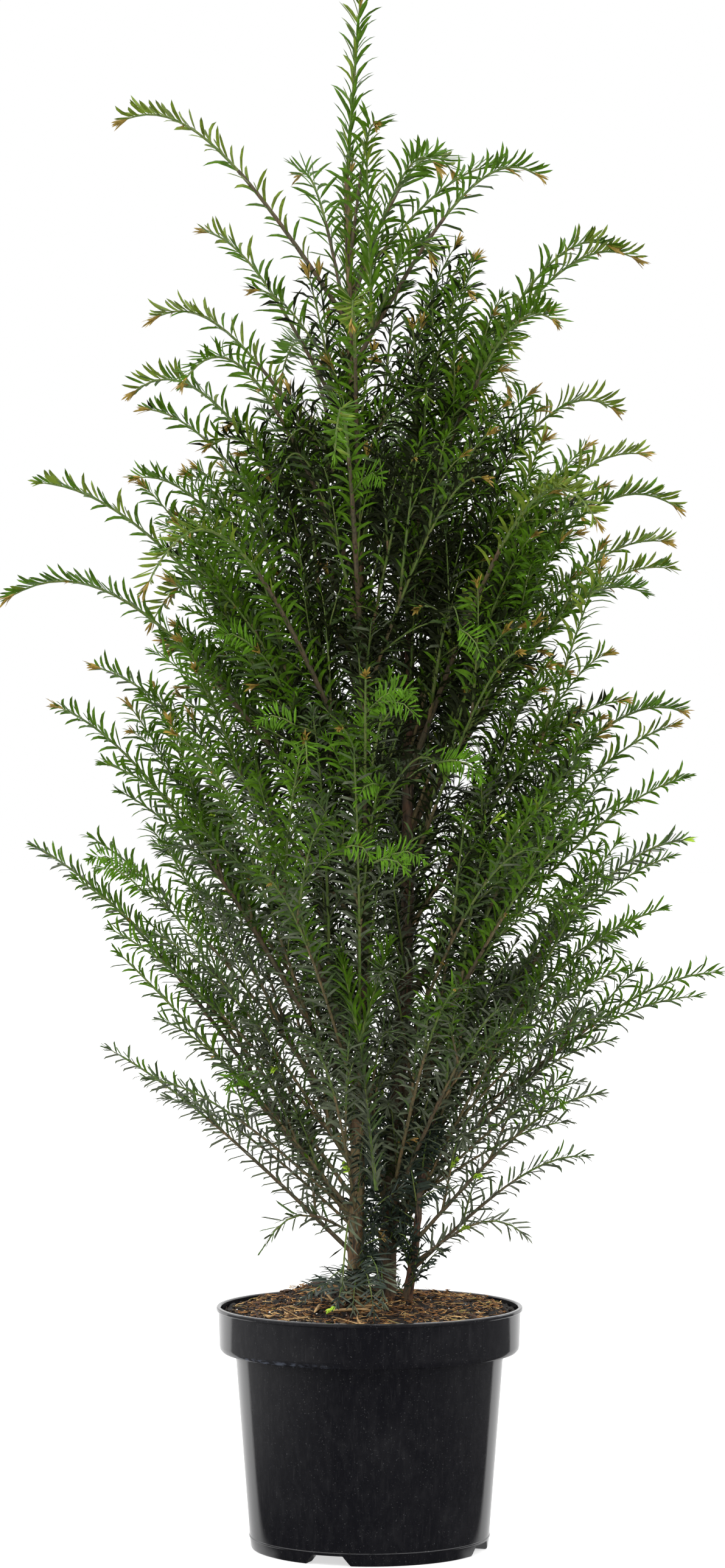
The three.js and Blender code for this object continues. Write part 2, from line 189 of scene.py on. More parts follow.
def new_material(name: str) -> tuple[bpy.types.Material, Recipe]:
    """Starts a material.

    Args:
        name: The material's name.

    Returns:
        The material and the recipe that fills it.
    """
    material = bpy.data.materials.new(name)
    material.use_nodes = True
    return material, Recipe(material.node_tree)


# ---- Finishes ----


def drifting(colour: Colour, vary: float) -> tuple[Colour, Colour]:
    """The darker and the lighter end of a colour that varies by a share of itself."""
    return tuple(part * (1.0 - vary) for part in colour), tuple(min(1.0, part * (1.0 + vary)) for part in colour)


@dataclass(frozen=True)
class NeedleFinish:
    """Leathery, waxy needles of one tint."""

    name: str
    colour: Colour
    roughness: float = 0.4
    vary: float = 0.32
    gloss: float = 0.25

    def material(self) -> bpy.types.Material:
        """A tint that drifts from needle to needle, under a thin wax bloom.

        Returns:
            The material.
        """
        material, recipe = new_material(self.name)
        where = recipe.place()
        drift = recipe.noise(where, 90.0, 2.0)
        fleck = recipe.noise(where, 700.0, 2.0)
        tint = recipe.mix(recipe.step(drift * 0.75 + fleck * 0.25, 0.36, 0.64), *drifting(self.colour, self.vary))
        recipe.surface({
            "Base Color": tint,
            "Roughness": fleck * 0.25 + (self.roughness - 0.12),
            "Specular IOR Level": self.gloss,
            "Normal": recipe.bump(fleck, 0.0002, 0.4),
        })
        return material


@dataclass(frozen=True)
class BarkFinish:
    """Thin, flaking bark in plates with cracks between them."""

    name: str
    plate: Colour
    crack: Colour
    flake: Colour
    scale: float = 1.0

    def material(self) -> bpy.types.Material:
        """Long plates, dark cracks that are partly painted shade, and fresher reddish flakes.

        Returns:
            The material.
        """
        material, recipe = new_material(self.name)
        long = recipe.place((1.0, 1.0, 0.16))
        plates = recipe.noise(long, 420.0 * self.scale, 5.0, 0.62)
        grain = recipe.noise(recipe.place((1.0, 1.0, 0.08)), 1500.0 * self.scale, 3.0)
        patches = recipe.noise(recipe.place((1.0, 1.0, 0.5)), 70.0 * self.scale, 3.0)
        body = recipe.mix(recipe.step(patches, 0.44, 0.62), self.plate, self.flake)
        # The cracks fall where the bump is low: their dark is partly the cracks' own colour and partly painted shade.
        shaded = recipe.mix(recipe.step(plates, 0.36, 0.52), self.crack, body)
        worn = recipe.mix(recipe.step(grain, 0.5, 0.72) * 0.35, shaded, tuple(min(1.0, c * 1.9) for c in self.plate))
        recipe.surface({
            "Base Color": worn,
            "Roughness": grain * 0.3 + 0.6,
            "Normal": recipe.bump(plates * 0.7 + grain * 0.3, 0.0016, 0.8),
        })
        return material


@dataclass(frozen=True)
class PlasticFinish:
    """Black blow-moulded plastic with a satin skin, handled and dusty."""

    name: str
    colour: Colour
    dust: Colour
    mark: Colour

    def material(self) -> bpy.types.Material:
        """A cloudy satin skin with upright scuffs, level scratches, dust in its grain and specks, and one pale mark.

        Returns:
            The material.
        """
        material, recipe = new_material(self.name)
        where = recipe.place()
        cloud = recipe.noise(where, 14.0, 4.0)
        skin = recipe.noise(where, 900.0, 3.0)
        scuff = recipe.noise(recipe.place((1.0, 1.0, 0.03)), 700.0, 2.0)
        scratch = recipe.step(recipe.noise(recipe.place((0.12, 0.12, 1.0)), 1100.0, 2.0), 0.66, 0.74)
        speck = recipe.step(recipe.noise(where, 700.0, 1.0), 0.68, 0.74)
        grain = recipe.step(recipe.noise(recipe.place((1.0, 1.0, 0.4)), 150.0, 6.0, 0.7), 0.42, 0.68)
        dusty = recipe.step(cloud, 0.48, 0.72) * 0.12 + speck * 0.9 + grain * 0.13
        dusty = dusty + recipe.step(scuff, 0.56, 0.8) * 0.25
        dusted = recipe.mix(dusty * 0.5, self.colour, self.dust)
        marked = recipe.mix(self._mark(recipe) * 0.3, dusted, self.mark)
        recipe.surface({
            "Base Color": marked,
            "Roughness": cloud * 0.03 + scuff * 0.03 + scratch * 0.1 + dusty * 0.12 + 0.03,
            "Normal": recipe.bump(skin * 0.5 + scuff * 0.35 + scratch * 0.15, 0.0002, 0.25),
        })
        return material

    @staticmethod
    def _mark(recipe: Recipe) -> Shade:
        """A faint pale bluish streak along the lower edge of the band, on the left of the front.

        Args:
            recipe: The plastic's recipe.

        Returns:
            How much of the streak is at a place, from 0 to 1.
        """
        across, height = (recipe.axis(recipe.place(), letter) for letter in "XZ")
        along = recipe.step(across, -0.128, -0.112) * (1.0 - recipe.step(across, -0.085, -0.02))
        ragged = recipe.noise(recipe.place((1.0, 1.0, 3.0)), 160.0, 4.0)
        return (1.0 - recipe.step(abs(height - 0.1805), 0.0006, 0.0032)) * along * recipe.step(ragged, 0.4, 0.66)


@dataclass(frozen=True)
class CompostFinish:
    """Moist bark and peat compost."""

    name: str
    deep: Colour
    crumb: Colour
    dry: Colour

    def material(self) -> bpy.types.Material:
        """Dark crumbs, darkest in the bump's hollows partly as painted shade, with drier, redder ones among them.

        Returns:
            The material.
        """
        material, recipe = new_material(self.name)
        where = recipe.place()
        crumbs = recipe.noise(where, 260.0, 5.0, 0.65)
        fine = recipe.noise(where, 1300.0, 3.0)
        patch = recipe.noise(where, 28.0, 3.0)
        # The near-black deep colour goes where the bump is low: partly the moist compost's own colour, partly painted
        # shade between the crumbs.
        body = recipe.mix(recipe.step(crumbs, 0.45, 0.66), self.deep, self.crumb)
        dried = recipe.mix(recipe.step(fine * 0.6 + patch * 0.4, 0.55, 0.7) * 0.5, body, self.dry)
        recipe.surface({
            "Base Color": dried,
            "Roughness": fine * 0.2 + 0.75,
            "Normal": recipe.bump(crumbs * 0.6 + fine * 0.4, 0.0022, 0.9),
        })
        return material


@dataclass(frozen=True)
class GritFinish:
    """Crumbs, fibres and other small dry things, of one colour that drifts."""

    name: str
    colour: Colour
    vary: float = 0.4
    roughness: float = 0.8

    def material(self) -> bpy.types.Material:
        """A drifting colour with a fine grain.

        Returns:
            The material.
        """
        material, recipe = new_material(self.name)
        where = recipe.place()
        drift = recipe.noise(where, 160.0, 2.0)
        grain = recipe.noise(where, 1600.0, 2.0)
        share = recipe.step(drift * 0.6 + grain * 0.4, 0.38, 0.62)
        recipe.surface({
            "Base Color": recipe.mix(share, *drifting(self.colour, self.vary)),
            "Roughness": grain * 0.15 + (self.roughness - 0.08),
            "Normal": recipe.bump(grain, 0.0004, 0.6),
        })
        return material


# ---- Meshes ----


def dress(piece: bpy.types.Object, nodes: Iterable[str], material: bpy.types.Material) -> bpy.types.Object:
    """Gives a piece its material, hangs it under the root and hides the CAD nodes that it stands for.

    Args:
        piece: The finished piece, with its place in its mesh.
        nodes: The CAD nodes that the piece stands for.
        material: Its finish.

    Returns:
        The same piece.
    """
    piece.data.materials.clear()
    piece.data.materials.append(material)
    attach(piece, "root")
    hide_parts(*sorted(set(nodes)))
    log.info("%s: %d faces", piece.name, len(piece.data.polygons))
    return piece


def object_of(mesh: bpy.types.Mesh) -> bpy.types.Object:
    """Shows a mesh.

    Args:
        mesh: A mesh in metres, with its place in it.

    Returns:
        An object at the origin, with the mesh's name.
    """
    made = bpy.data.objects.new(mesh.name, mesh)
    bpy.context.scene.collection.objects.link(made)
    return made


def object_from_bmesh(name: str, form: bmesh.types.BMesh, smooth: bool = True) -> bpy.types.Object:
    """Turns a bmesh into an object, with its faces outwards, and frees it.

    Args:
        name: The object's name.
        form: The bmesh, in metres.
        smooth: True for smooth faces.

    Returns:
        The object.
    """
    bmesh.ops.recalc_face_normals(form, faces=form.faces)
    for face in form.faces:
        face.smooth = smooth
    mesh = bpy.data.meshes.new(name)
    form.to_mesh(mesh)
    form.free()
    return object_of(mesh)


def joined_mesh(name: str, corners: np.ndarray, faces: Sequence[np.ndarray]) -> bpy.types.Mesh:
    """Joins many small things into one mesh.

    Args:
        name: The mesh's name.
        corners: Places in millimetres, one row each.
        faces: Arrays of corner numbers, one array for each number of sides.

    Returns:
        The mesh, in metres, with smooth faces.
    """
    mesh = bpy.data.meshes.new(name)
    mesh.vertices.add(len(corners))
    mesh.vertices.foreach_set("co", (corners * MM).astype(np.float32).ravel())
    loops = np.concatenate([group.ravel() for group in faces])
    sides = np.concatenate([np.full(len(group), group.shape[1]) for group in faces])
    mesh.loops.add(len(loops))
    mesh.loops.foreach_set("vertex_index", loops.astype(np.int32))
    mesh.polygons.add(len(sides))
    mesh.polygons.foreach_set("loop_start", np.concatenate([[0], np.cumsum(sides)[:-1]]).astype(np.int32))
    mesh.polygons.foreach_set("use_smooth", np.ones(len(sides), bool))
    mesh.update(calc_edges=True)
    return mesh


def turned(outline: Sequence[Pair], steps: int, join: float) -> bmesh.types.BMesh:
    """Turns an outline round the upright axis.

    Args:
        outline: Radii and heights, from the axis to the axis.
        steps: The number of steps in the full turn.
        join: The distance within which corners are joined.

    Returns:
        The closed form, in the outline's unit.
    """
    form = bmesh.new()
    verts = [form.verts.new((radius, 0.0, height)) for radius, height in outline]
    edges = [form.edges.new(pair) for pair in zip(verts, verts[1:])]
    bmesh.ops.spin(
        form, geom=verts + edges, cent=(0, 0, 0), axis=(0, 0, 1), angle=2 * math.pi, steps=steps, use_merge=True,
    )
    bmesh.ops.remove_doubles(form, verts=form.verts, dist=join)
    return form


def unit(vectors: np.ndarray) -> np.ndarray:
    """Vectors of length 1."""
    return vectors / np.maximum(np.linalg.norm(vectors, axis=-1, keepdims=True), 1e-9)


def section(side: np.ndarray, rise: np.ndarray, angle: np.ndarray) -> np.ndarray:
    """Directions round a line at some angles, for each of its places."""
    return side[:, None] * np.cos(angle)[None, :, None] + rise[:, None] * np.sin(angle)[None, :, None]


def tube_faces(sides: int, rings: Sequence[int]) -> list[np.ndarray]:
    """The faces of tubes that are closed at both ends.

    Args:
        sides: How many corners each ring has.
        rings: How many rings each tube has.

    Returns:
        Arrays of corner numbers: the walls, then the end caps.
    """
    walls, caps, offset = [], [], 0
    here = np.arange(sides)
    there = (here + 1) % sides
    for count in rings:
        ring = offset + np.arange(count - 1)[:, None] * sides
        wall = np.stack([ring + there, ring + here, ring + sides + here, ring + sides + there], axis=2)
        walls.append(wall.reshape(-1, 4))
        caps += [offset + here, offset + (count - 1) * sides + here[::-1]]
        offset += count * sides
    return [np.concatenate(walls), np.array(caps)]


# ---- Lines ----


class Seeded:
    """Numbers from 0 to 1, one after another, the same for the same seed."""

    def __init__(self, seed: int) -> None:
        """Starts from a seed."""
        self.state = seed & 0xFFFFFFFF

    def next(self) -> float:
        """The next number."""
        self.state = (self.state * 1664525 + 1013904223) & 0xFFFFFFFF
        return self.state / 4294967296

    def between(self, low: float, high: float) -> float:
        """A number between two others."""
        return low + (high - low) * self.next()

    def either(self, spread: float) -> float:
        """A number within `spread` of zero."""
        return self.between(-spread, spread)


DROOP = 3.4  # the power of the way out at which a limb sags, so that it bends over most at its tip


@dataclass
class Arch:
    """A limb in flight: it leaves its root at a heading and a rise, and sags and bends sideways on its way out."""

    root: np.ndarray
    heading: float
    rise: float
    length: float
    sag: float
    bend: float = 0.0

    @property
    def out(self) -> np.ndarray:
        """The direction in which it leaves its root."""
        level = math.cos(self.rise)
        return np.array([math.cos(self.heading) * level, math.sin(self.heading) * level, math.sin(self.rise)])

    @property
    def side(self) -> np.ndarray:
        """Level and square to its heading."""
        return np.array([math.sin(self.heading), -math.cos(self.heading), 0.0])

    def points(self, share: np.ndarray) -> np.ndarray:
        """Places at some shares of its length."""
        t = np.atleast_1d(np.asarray(share, float))[:, None]
        return self.root + (self.out * t + self.side * (self.bend * t * t) - UP * (self.sag * t**DROOP)) * self.length

    def tangents(self, share: np.ndarray) -> np.ndarray:
        """Directions at some shares of its length."""
        t = np.atleast_1d(np.asarray(share, float))[:, None]
        return unit(self.out + self.side * (2 * self.bend * t) - UP * (self.sag * DROOP * t ** (DROOP - 1)))

    def square(self, tangent: np.ndarray) -> tuple[np.ndarray, np.ndarray]:
        """The level sides and the rises that are square to some of its directions."""
        side = unit(self.side - tangent * (tangent @ self.side)[:, None])
        return side, np.cross(side, tangent)

    @classmethod
    def reaching(cls, root: np.ndarray, tip: np.ndarray, rise: float, bend: float = 0.0) -> "Arch":
        """An arch between two places.

        Args:
            root: Where it starts.
            tip: Where it would end without its bend.
            rise: The rise at which it leaves its root, in radians.
            bend: How far it bends sideways, as a share of its length.

        Returns:
            The arch.
        """
        way = tip - root
        reach = float(math.hypot(way[0], way[1]))
        length = reach / math.cos(rise)
        sag = (reach * math.tan(rise) - float(way[2])) / length
        return cls(root, math.atan2(way[1], way[0]), rise, length, sag, bend)

    @classmethod
    def arching(cls, root: np.ndarray, tip: np.ndarray, steeper: float, bend: float = 0.0) -> "Arch":
        """An arch between two places that starts a number of times steeper than the straight line."""
        slope = (tip[2] - root[2]) / math.hypot(*(tip - root)[:2])
        return cls.reaching(root, tip, math.atan(steeper * slope), bend)


@dataclass(frozen=True)
class StemSize:
    """A stem: foot and top heights, radii there, the flare at the compost and its middle line's lean."""

    foot: float
    top: float
    radius: Pair
    flare: float
    lean: tuple[Pair, ...]

    def points(self, share: np.ndarray) -> np.ndarray:
        """Places on the middle line, a smooth curve through the lean's knots.

        Args:
            share: Shares of the stem's height.

        Returns:
            The places, one row each.
        """
        knots = np.array(self.lean, float)
        knots = np.vstack([2 * knots[0] - knots[1], knots, 2 * knots[-1] - knots[-2]])
        spans = len(self.lean) - 1
        t = np.clip(np.atleast_1d(np.asarray(share, float)), 0.0, 1.0)
        span = np.minimum((t * spans).astype(int), spans - 1)
        w = (t * spans - span)[:, None]
        a, b, c, d = (knots[span + k] for k in range(4))
        flat = b + 0.5 * w * (c - a + w * (2 * a - 5 * b + 4 * c - d + w * (3 * (b - c) + d - a)))
        return np.column_stack([flat, self.foot + t * (self.top - self.foot)])

    def at_height(self, height: float) -> np.ndarray:
        """The middle of the stem at a height."""
        place = self.points(np.array([(height - self.foot) / (self.top - self.foot)]))[0]
        return np.array([place[0], place[1], height])

    def wood(self, share: np.ndarray) -> np.ndarray:
        """Radius of the wood at some shares of its height."""
        flare = self.flare * np.exp(-(share * (self.top - self.foot)) / FLARE_HEIGHT)
        return self.radius[0] + (self.radius[1] - self.radius[0]) * share + flare


FLARE_HEIGHT = 13.0  # over which the flare at the compost dies away
STEMS = {
    "main": StemSize(
        224, 1250, (6.9, 2.2), 2.6,
        ((-13.5, -8), (-9.5, -12), (-3.8, -11), (-4.9, -7), (-10, -7), (-16.5, -9), (-20.6, -8)),
    ),
    "second": StemSize(222, 1050, (8.2, 2), 3.0, ((14, 15), (24, 18), (34, 20), (35.5, 22), (38.5, 24), (44, 26))),
    "low": StemSize(218, 392, (3.4, 2.2), 1.1, ((33, 1), (42, -4), (47, -8), (59, -10))),
}


# ---- Growth rule ----


@dataclass(frozen=True)
class Row:
    """A bough and its mass: where it leaves its stem and where its tip ends up.

    `reach` is the tip's distance from the stem and `tip` its height. The bough takes the share `bare_to` of the
    line, and the mass's solid has a number of side `shoots`.
    """

    stem: str
    foot: float
    heading: float
    reach: float
    tip: float
    rise: float
    bare_to: float
    shoots: int

    def line(self) -> Arch:
        """The line that the bough and its mass follow.

        Returns:
            The line, from the middle of the stem to the tip.
        """
        root = STEMS[self.stem].at_height(self.foot)
        rise = math.radians(self.rise)
        length = self.reach / math.cos(rise)
        sag = (self.foot + self.reach * math.tan(rise) - self.tip) / length
        return Arch(root, math.radians(self.heading), rise, length, sag)


CROWN = {
    "leader": Row("main", 1250.3, 10, 12, 1412, 85.8, 0, 0),
    "top_left": Row("main", 1115, 184, 205, 1301, 56, 0.3, 3),
    "top_front": Row("main", 1165, 292, 62, 1290, 72, 0, 2),
    "top_right": Row("main", 1075, 350, 172, 1248, 60, 0, 2),
    "top_right_back": Row("main", 1140, 35, 118, 1262, 64, 0, 2),
    "top_back": Row("main", 1100, 118, 100, 1265, 68, 0, 2),
    "high_left": Row("main", 1010, 166, 140, 1205, 62, 0, 3),
    "high_right": Row("second", 985, 358, 202, 1180, 58, 0, 4),
    "shoulder_left": Row("main", 945, 186, 183, 1121, 58, 0, 4),
    "shoulder_left_back": Row("main", 835, 160, 225, 1062, 60, 0, 4),
    "shoulder_left_front": Row("main", 872, 222, 210, 1050, 60, 0, 3),
    "shoulder_front": Row("main", 905, 268, 170, 1100, 66, 0, 3),
    "shoulder_right_front": Row("second", 925, 318, 170, 1110, 62, 0, 2),
    "shoulder_right": Row("second", 850, 8, 192, 1043, 60, 0, 3),
    "shoulder_back_right": Row("second", 880, 62, 205, 1075, 62, 0, 3),
    "shoulder_back": Row("main", 885, 112, 200, 1085, 64, 0, 3),
    "waist_left": Row("main", 735, 186, 296, 970, 55, 0.3, 3),
    "waist_left_low": Row("main", 612, 176, 328, 868, 56, 0.3, 4),
    "waist_left_front": Row("main", 690, 226, 275, 865, 58, 0, 3),
    "waist_front": Row("main", 790, 264, 235, 975, 62, 0, 3),
    "waist_right_front": Row("second", 700, 308, 265, 925, 60, 0, 3),
    "waist_right": Row("second", 735, 356, 245, 951, 57, 0.3, 4),
    "waist_right_low": Row("second", 650, 14, 228, 875, 58, 0, 4),
    "waist_back_right": Row("second", 757, 48, 255, 950, 58, 0, 3),
    "waist_back": Row("second", 815, 94, 235, 1000, 62, 0, 2),
    "waist_back_left": Row("main", 650, 138, 275, 850, 58, 0, 3),
    "skirt_left": Row("main", 545, 187, 280, 767, 54, 0.3, 4),
    "skirt_left_low": Row("main", 450, 178, 300, 640, 50, 0.3, 3),
    "skirt_left_front": Row("main", 515, 232, 265, 740, 60, 0, 3),
    "skirt_front": Row("main", 590, 270, 240, 790, 60, 0, 3),
    "skirt_right_front": Row("second", 465, 306, 265, 660, 57, 0, 3),
    "skirt_right": Row("second", 560, 3, 252, 765, 54, 0.3, 4),
    "skirt_right_low": Row("second", 455, 352, 262, 646, 50, 0, 4),
    "skirt_back": Row("second", 590, 88, 255, 790, 60, 0, 3),
    "skirt_back_left": Row("main", 410, 138, 260, 640, 60, 0, 3),
    "hem_left_high": Row("main", 395, 190, 222, 546, 50, 0, 3),
    "hem_left": Row("main", 320, 180, 226, 455, 46, 0.3, 3),
    "hem_left_low": Row("main", 285, 200, 90, 276, 30, 0, 1),
    "hem_right": Row("second", 350, 4, 300, 523, 45, 0.3, 4),
    "hem_right_low": Row("low", 315, 345, 170, 417, 52, 0, 3),
    "hem_right_mid": Row("low", 288, 20, 168, 352, 46, 0, 2),
    "hem_right_foot": Row("low", 258, 348, 106, 285, 38, 0, 1),
    "hem_front": Row("second", 290, 246, 110, 560, 74, 0, 3),
    "hem_back": Row("second", 355, 84, 215, 520, 54, 0, 3),
    "hem_front_right": Row("second", 372, 300, 185, 500, 55, 0, 3),
    "foot_front": Row("main", 300, 258, 62, 240, 20, 0, 1),
}

# The limbs of the low boughs: their feet, which are lower on the stems than the solids', and how much they arch.
FEET = {
    "waist_left": (690, 1.4), "waist_left_low": (612, 1.76), "skirt_left": (400, 1.3), "skirt_left_low": (292, 1.25),
    "hem_left_high": (302, 1.06), "hem_left": (266, 1.15), "hem_right": (298, 1.4), "hem_right_low": (280, 1.4),
    "hem_right_mid": (252, 1.5), "skirt_right": (490, 1.54), "skirt_right_low": (330, 1.4), "hem_front": (290, 1.1),
}
LOWER = 70.0  # how far below its row's foot any other low limb sets out
CROWN_FOOT = 230.0
CROWN_HEIGHT = 1180.0


def up_crown(height: float) -> float:
    """How far up the crown a height is: 0 at its foot, 1 at the leader's tip."""
    return (height - CROWN_FOOT) / CROWN_HEIGHT


class Tint(Enum):
    """The colours that needles are dealt, by spray; the steps from dark to light are partly own colour, partly
    painted shade and light.
    """

    DARK = "dark"
    DUSK = "dusk"
    SHADE = "shade"
    DEEP = "deep"
    MID = "mid"
    SUN = "sun"
    FRESH = "fresh"
    BRONZE = "bronze"
    LIME = "lime"
    OCHRE = "ochre"


# Painted shade and light: the near-black, dusk and shade tints stand for shade inside and under the crown. The shade
# tint's grey also stands for a painted reflection of the pale floor, and the sun tint is painted light. Fresh,
# bronze, lime and ochre are the needles' own colours.
NEEDLE_FINISHES = {
    Tint.DARK: NeedleFinish("needle_inner_shade", (0.009, 0.0125, 0.0035), 0.5, gloss=0.12),
    Tint.DUSK: NeedleFinish("needle_dusk", (0.02, 0.03, 0.021), 0.42, gloss=0.32),
    Tint.SHADE: NeedleFinish("needle_shade", (0.061, 0.074, 0.043), 0.42, gloss=0.36),
    Tint.DEEP: NeedleFinish("needle_deep", (0.042, 0.072, 0.02), 0.43, gloss=0.28),
    Tint.MID: NeedleFinish("needle_mid", (0.042, 0.096, 0.0035), 0.46, gloss=0.13),
    Tint.SUN: NeedleFinish("needle_sun", (0.084, 0.124, 0.01), 0.46, gloss=0.15),
    Tint.FRESH: NeedleFinish("needle_fresh", (0.046, 0.112, 0.004), 0.45, gloss=0.1),
    Tint.BRONZE: NeedleFinish("needle_bronze", (0.2, 0.135, 0.024), 0.5),
    Tint.LIME: NeedleFinish("needle_lime", (0.26, 0.4, 0.03), 0.4),
    Tint.OCHRE: NeedleFinish("needle_ochre", (0.27, 0.16, 0.045), 0.6),
}
# The levels run from painted shade to painted light, partly also from the darker older needles inside to the lighter
# young ones outside.
LEVELS = (Tint.SHADE, Tint.DEEP, Tint.MID, Tint.SUN)  # from the dark of the crown to its light
LEVEL_ENDS = (0.58, 0.9, 1.78)  # the lights at which each gives way to the next


@dataclass(frozen=True)
class Habit:
    """How needles stand on one kind of shoot.

    `pitch` is the length of shoot for each needle, `length` and `width` a needle's size, `ranks` the angles from up
    of the two ranks on a steep and on a level shoot, `flat` how far the needles keep to them there (0: all round),
    `lean` their angle to the shoot at root and tip, and `twist` how far they turn their faces up (1: fully).
    """

    pitch: float
    length: float
    width: float
    ranks: Pair
    flat: Pair
    lean: Pair
    twist: float


LONG = Habit(4.9, 28.5, 3.5, (70.0, 46.0), (0.15, 0.78), (32.0, 70.0), 0.9)
SIDE = Habit(3.7, 28.0, 3.3, (75.0, 55.0), (0.15, 0.75), (31.0, 76.0), 0.85)
TWIG = Habit(3.4, 26.0, 3.1, (75.0, 60.0), (0.25, 0.82), (34.0, 74.0), 0.85)
FEATHER = Habit(1.6, 18.5, 2.6, (84.0, 84.0), (0.96, 0.96), (56.0, 74.0), 1.0)
FOOT = Habit(2.3, 25.0, 3.7, (82.0, 82.0), (0.92, 0.92), (48.0, 78.0), 1.0)
TUFT = Habit(1.2, 14.0, 4.2, (80.0, 80.0), (0.3, 0.3), (18.0, 52.0), 0.6)
DEAD = Habit(5.0, 25.0, 1.6, (80.0, 80.0), (0.3, 0.3), (30.0, 84.0), 0.6)
LEADER = Habit(2.2, 30.0, 3.4, (90.0, 90.0), (0.0, 0.0), (24.0, 50.0), 0.5)


@dataclass
class Shoot:
    """A needled shoot: its line, bare for the share `bare` of that and brown to `brown_to`, its wood and needles.

    `light` picks the tint of its needles, from the dark to the light, partly their own colour and partly painted
    shade and light, unless `tint` gives it outright. `tip` is the tint of its youngest needles, `buds` how many buds
    it has under it, and `hidden` the share of its needles that are painted near black as shade because they are deep
    inside the crown.
    """

    line: Arch
    mass: str
    habit: Habit
    light: float
    tint: Tint | None = None
    tip: Tint | None = None
    bare: float = 0.04
    radius: Pair = (1.1, 0.6)
    roll: float = 0.0
    brown_to: float = 0.0
    buds: float = 0.0
    hidden: float = 0.0


@dataclass(frozen=True)
class Forking:
    """How finer shoots leave a limb: one for every `every` of its length, to left and right in turn.

    They start between the shares `first` and `last`, turned off sideways by `turn`, are `length` of the limb, within
    `limits`, sag by `sag` and rise at `rise` less `loss` times the share, give or take `spread`, or that much steeper
    than the limb if `onward` is True.
    """

    every: float
    first: float
    last: float
    turn: Pair
    length: Pair
    limits: Pair
    rise: float
    loss: float
    spread: float
    sag: Pair
    onward: bool = False


SECOND = Forking(50.0, 0.12, 0.8, (6.0, 42.0), (0.36, 0.74), (60.0, 290.0), 84.0, 44.0, 10.0, (0.08, 0.26))
THIRD = Forking(62.0, 0.16, 0.76, (20.0, 62.0), (0.3, 0.56), (38.0, 120.0), -14.0, 4.0, 10.0, (0.06, 0.24), True)


@dataclass(frozen=True)
class Rising:
    """How a mass's further limbs rise from its stem, below its bough, to tips within its reach.

    `reach` is their share of the mass's reach, `drop` how far their tips are below its tip, `turn` how far they head
    off to either side, `slope` their rise over their reach, and `arching` how much steeper they start than that.
    """

    each: float = 170.0
    reach: Pair = (0.35, 0.85)
    drop: Pair = (-10.0, 110.0)
    turn: float = 34.0
    slope: Pair = (1.2, 2.4)
    arching: Pair = (1.1, 1.5)


RISING = Rising()

# The crown's full body: its half-widths to the left and the right by height. Only leading shoots stand out of it.
BODY = np.array([
    (232, 36, 60), (312, 66, 98), (356, 112, 138), (445, 146, 192), (534, 160, 226), (624, 176, 204),
    (713, 190, 214), (802, 188, 170), (891, 176, 196), (980, 160, 176), (1024, 116, 166), (1069, 62, 132),
    (1113, 46, 124), (1158, 46, 110), (1202, 34, 50), (1250, 22, 22), (1300, 12, 12), (1330, 6, 6),
], float)
RAGGED = (-26.0, 30.0)  # how far a shoot's tip may stay short of the body or stand out of it
DEPTH = 0.95  # of the mean half-width, from the middle to the front and to the back


@dataclass(frozen=True)
class Growth:
    """The bounds of the growth. Those whose names end in `_low` or `_top` are heights of a tip."""

    clearance: float = 8.0  # from every tip to the sides and the top of the plant's box
    lowest: float = 232.0  # the height under which no tip may be
    over: float = 20.0  # how far above its mass's tip a shoot may end
    past: float = 4.0  # how far past its mass's reach it may end
    shortest: float = 28.0  # the length under which a shoot isn't grown
    long: float = 110.0  # from this length on a side shoot is a long one
    forking: float = 88.0  # from this length on it forks again
    thin_low: float = 700.0  # limbs below it are fewer and brown for longer, with shorter side shoots
    full_low: float = 1000.0  # the crown is at its fullest below it
    rough_top: float = 1150.0  # a mass above it has only one of the solid's side shoots
    bare_top: float = 1255.0  # a mass above it has none
    mass_top: float = 1240.0  # the leading shoot of a mass above it has no finer shoots
    limb_top: float = 1200.0  # nor has a further limb above this
    fork_top: float = 1120.0  # nor a side shoot above this
    loose: float = 30.0  # how much further out a low mass's side shoots may stand
    loose_outer: float = 22.0  # the same for the long shoots at the crown's edge
    above_foot: float = 34.0  # the least height above a stem's foot at which a limb leaves it
    below_top: float = 15.0  # and below its top


@dataclass(frozen=True)
class PaintedShade:
    """Where needles are painted near black as shade, inside the crown.

    `shares` gives the largest share of these painted-shade needles at `heights`, and `reach` how far out they go at
    `reach_heights`, as a share of the body's half-width, giving way to green ones over `edge`. A hollow to the right
    of the main stem gets painted shadow too: its x and z, half its width and height, its edge and how deep it counts.
    """

    heights: tuple[float, ...] = (430, 600, 740, 1080, 1220)
    shares: tuple[float, ...] = (0.25, 0.45, 1, 0.9, 0)
    most: float = 0.9
    reach_heights: Pair = (900, 1100)
    reach: Pair = (0.64, 0.9)
    edge: float = 0.3
    hollow: Pair = (62.0, 690.0)
    hollow_size: Pair = (78.0, 290.0)
    hollow_edge: float = 1.3
    hollow_depth: float = 0.45


GROWTH = Growth()
PAINTED_SHADE = PaintedShade()


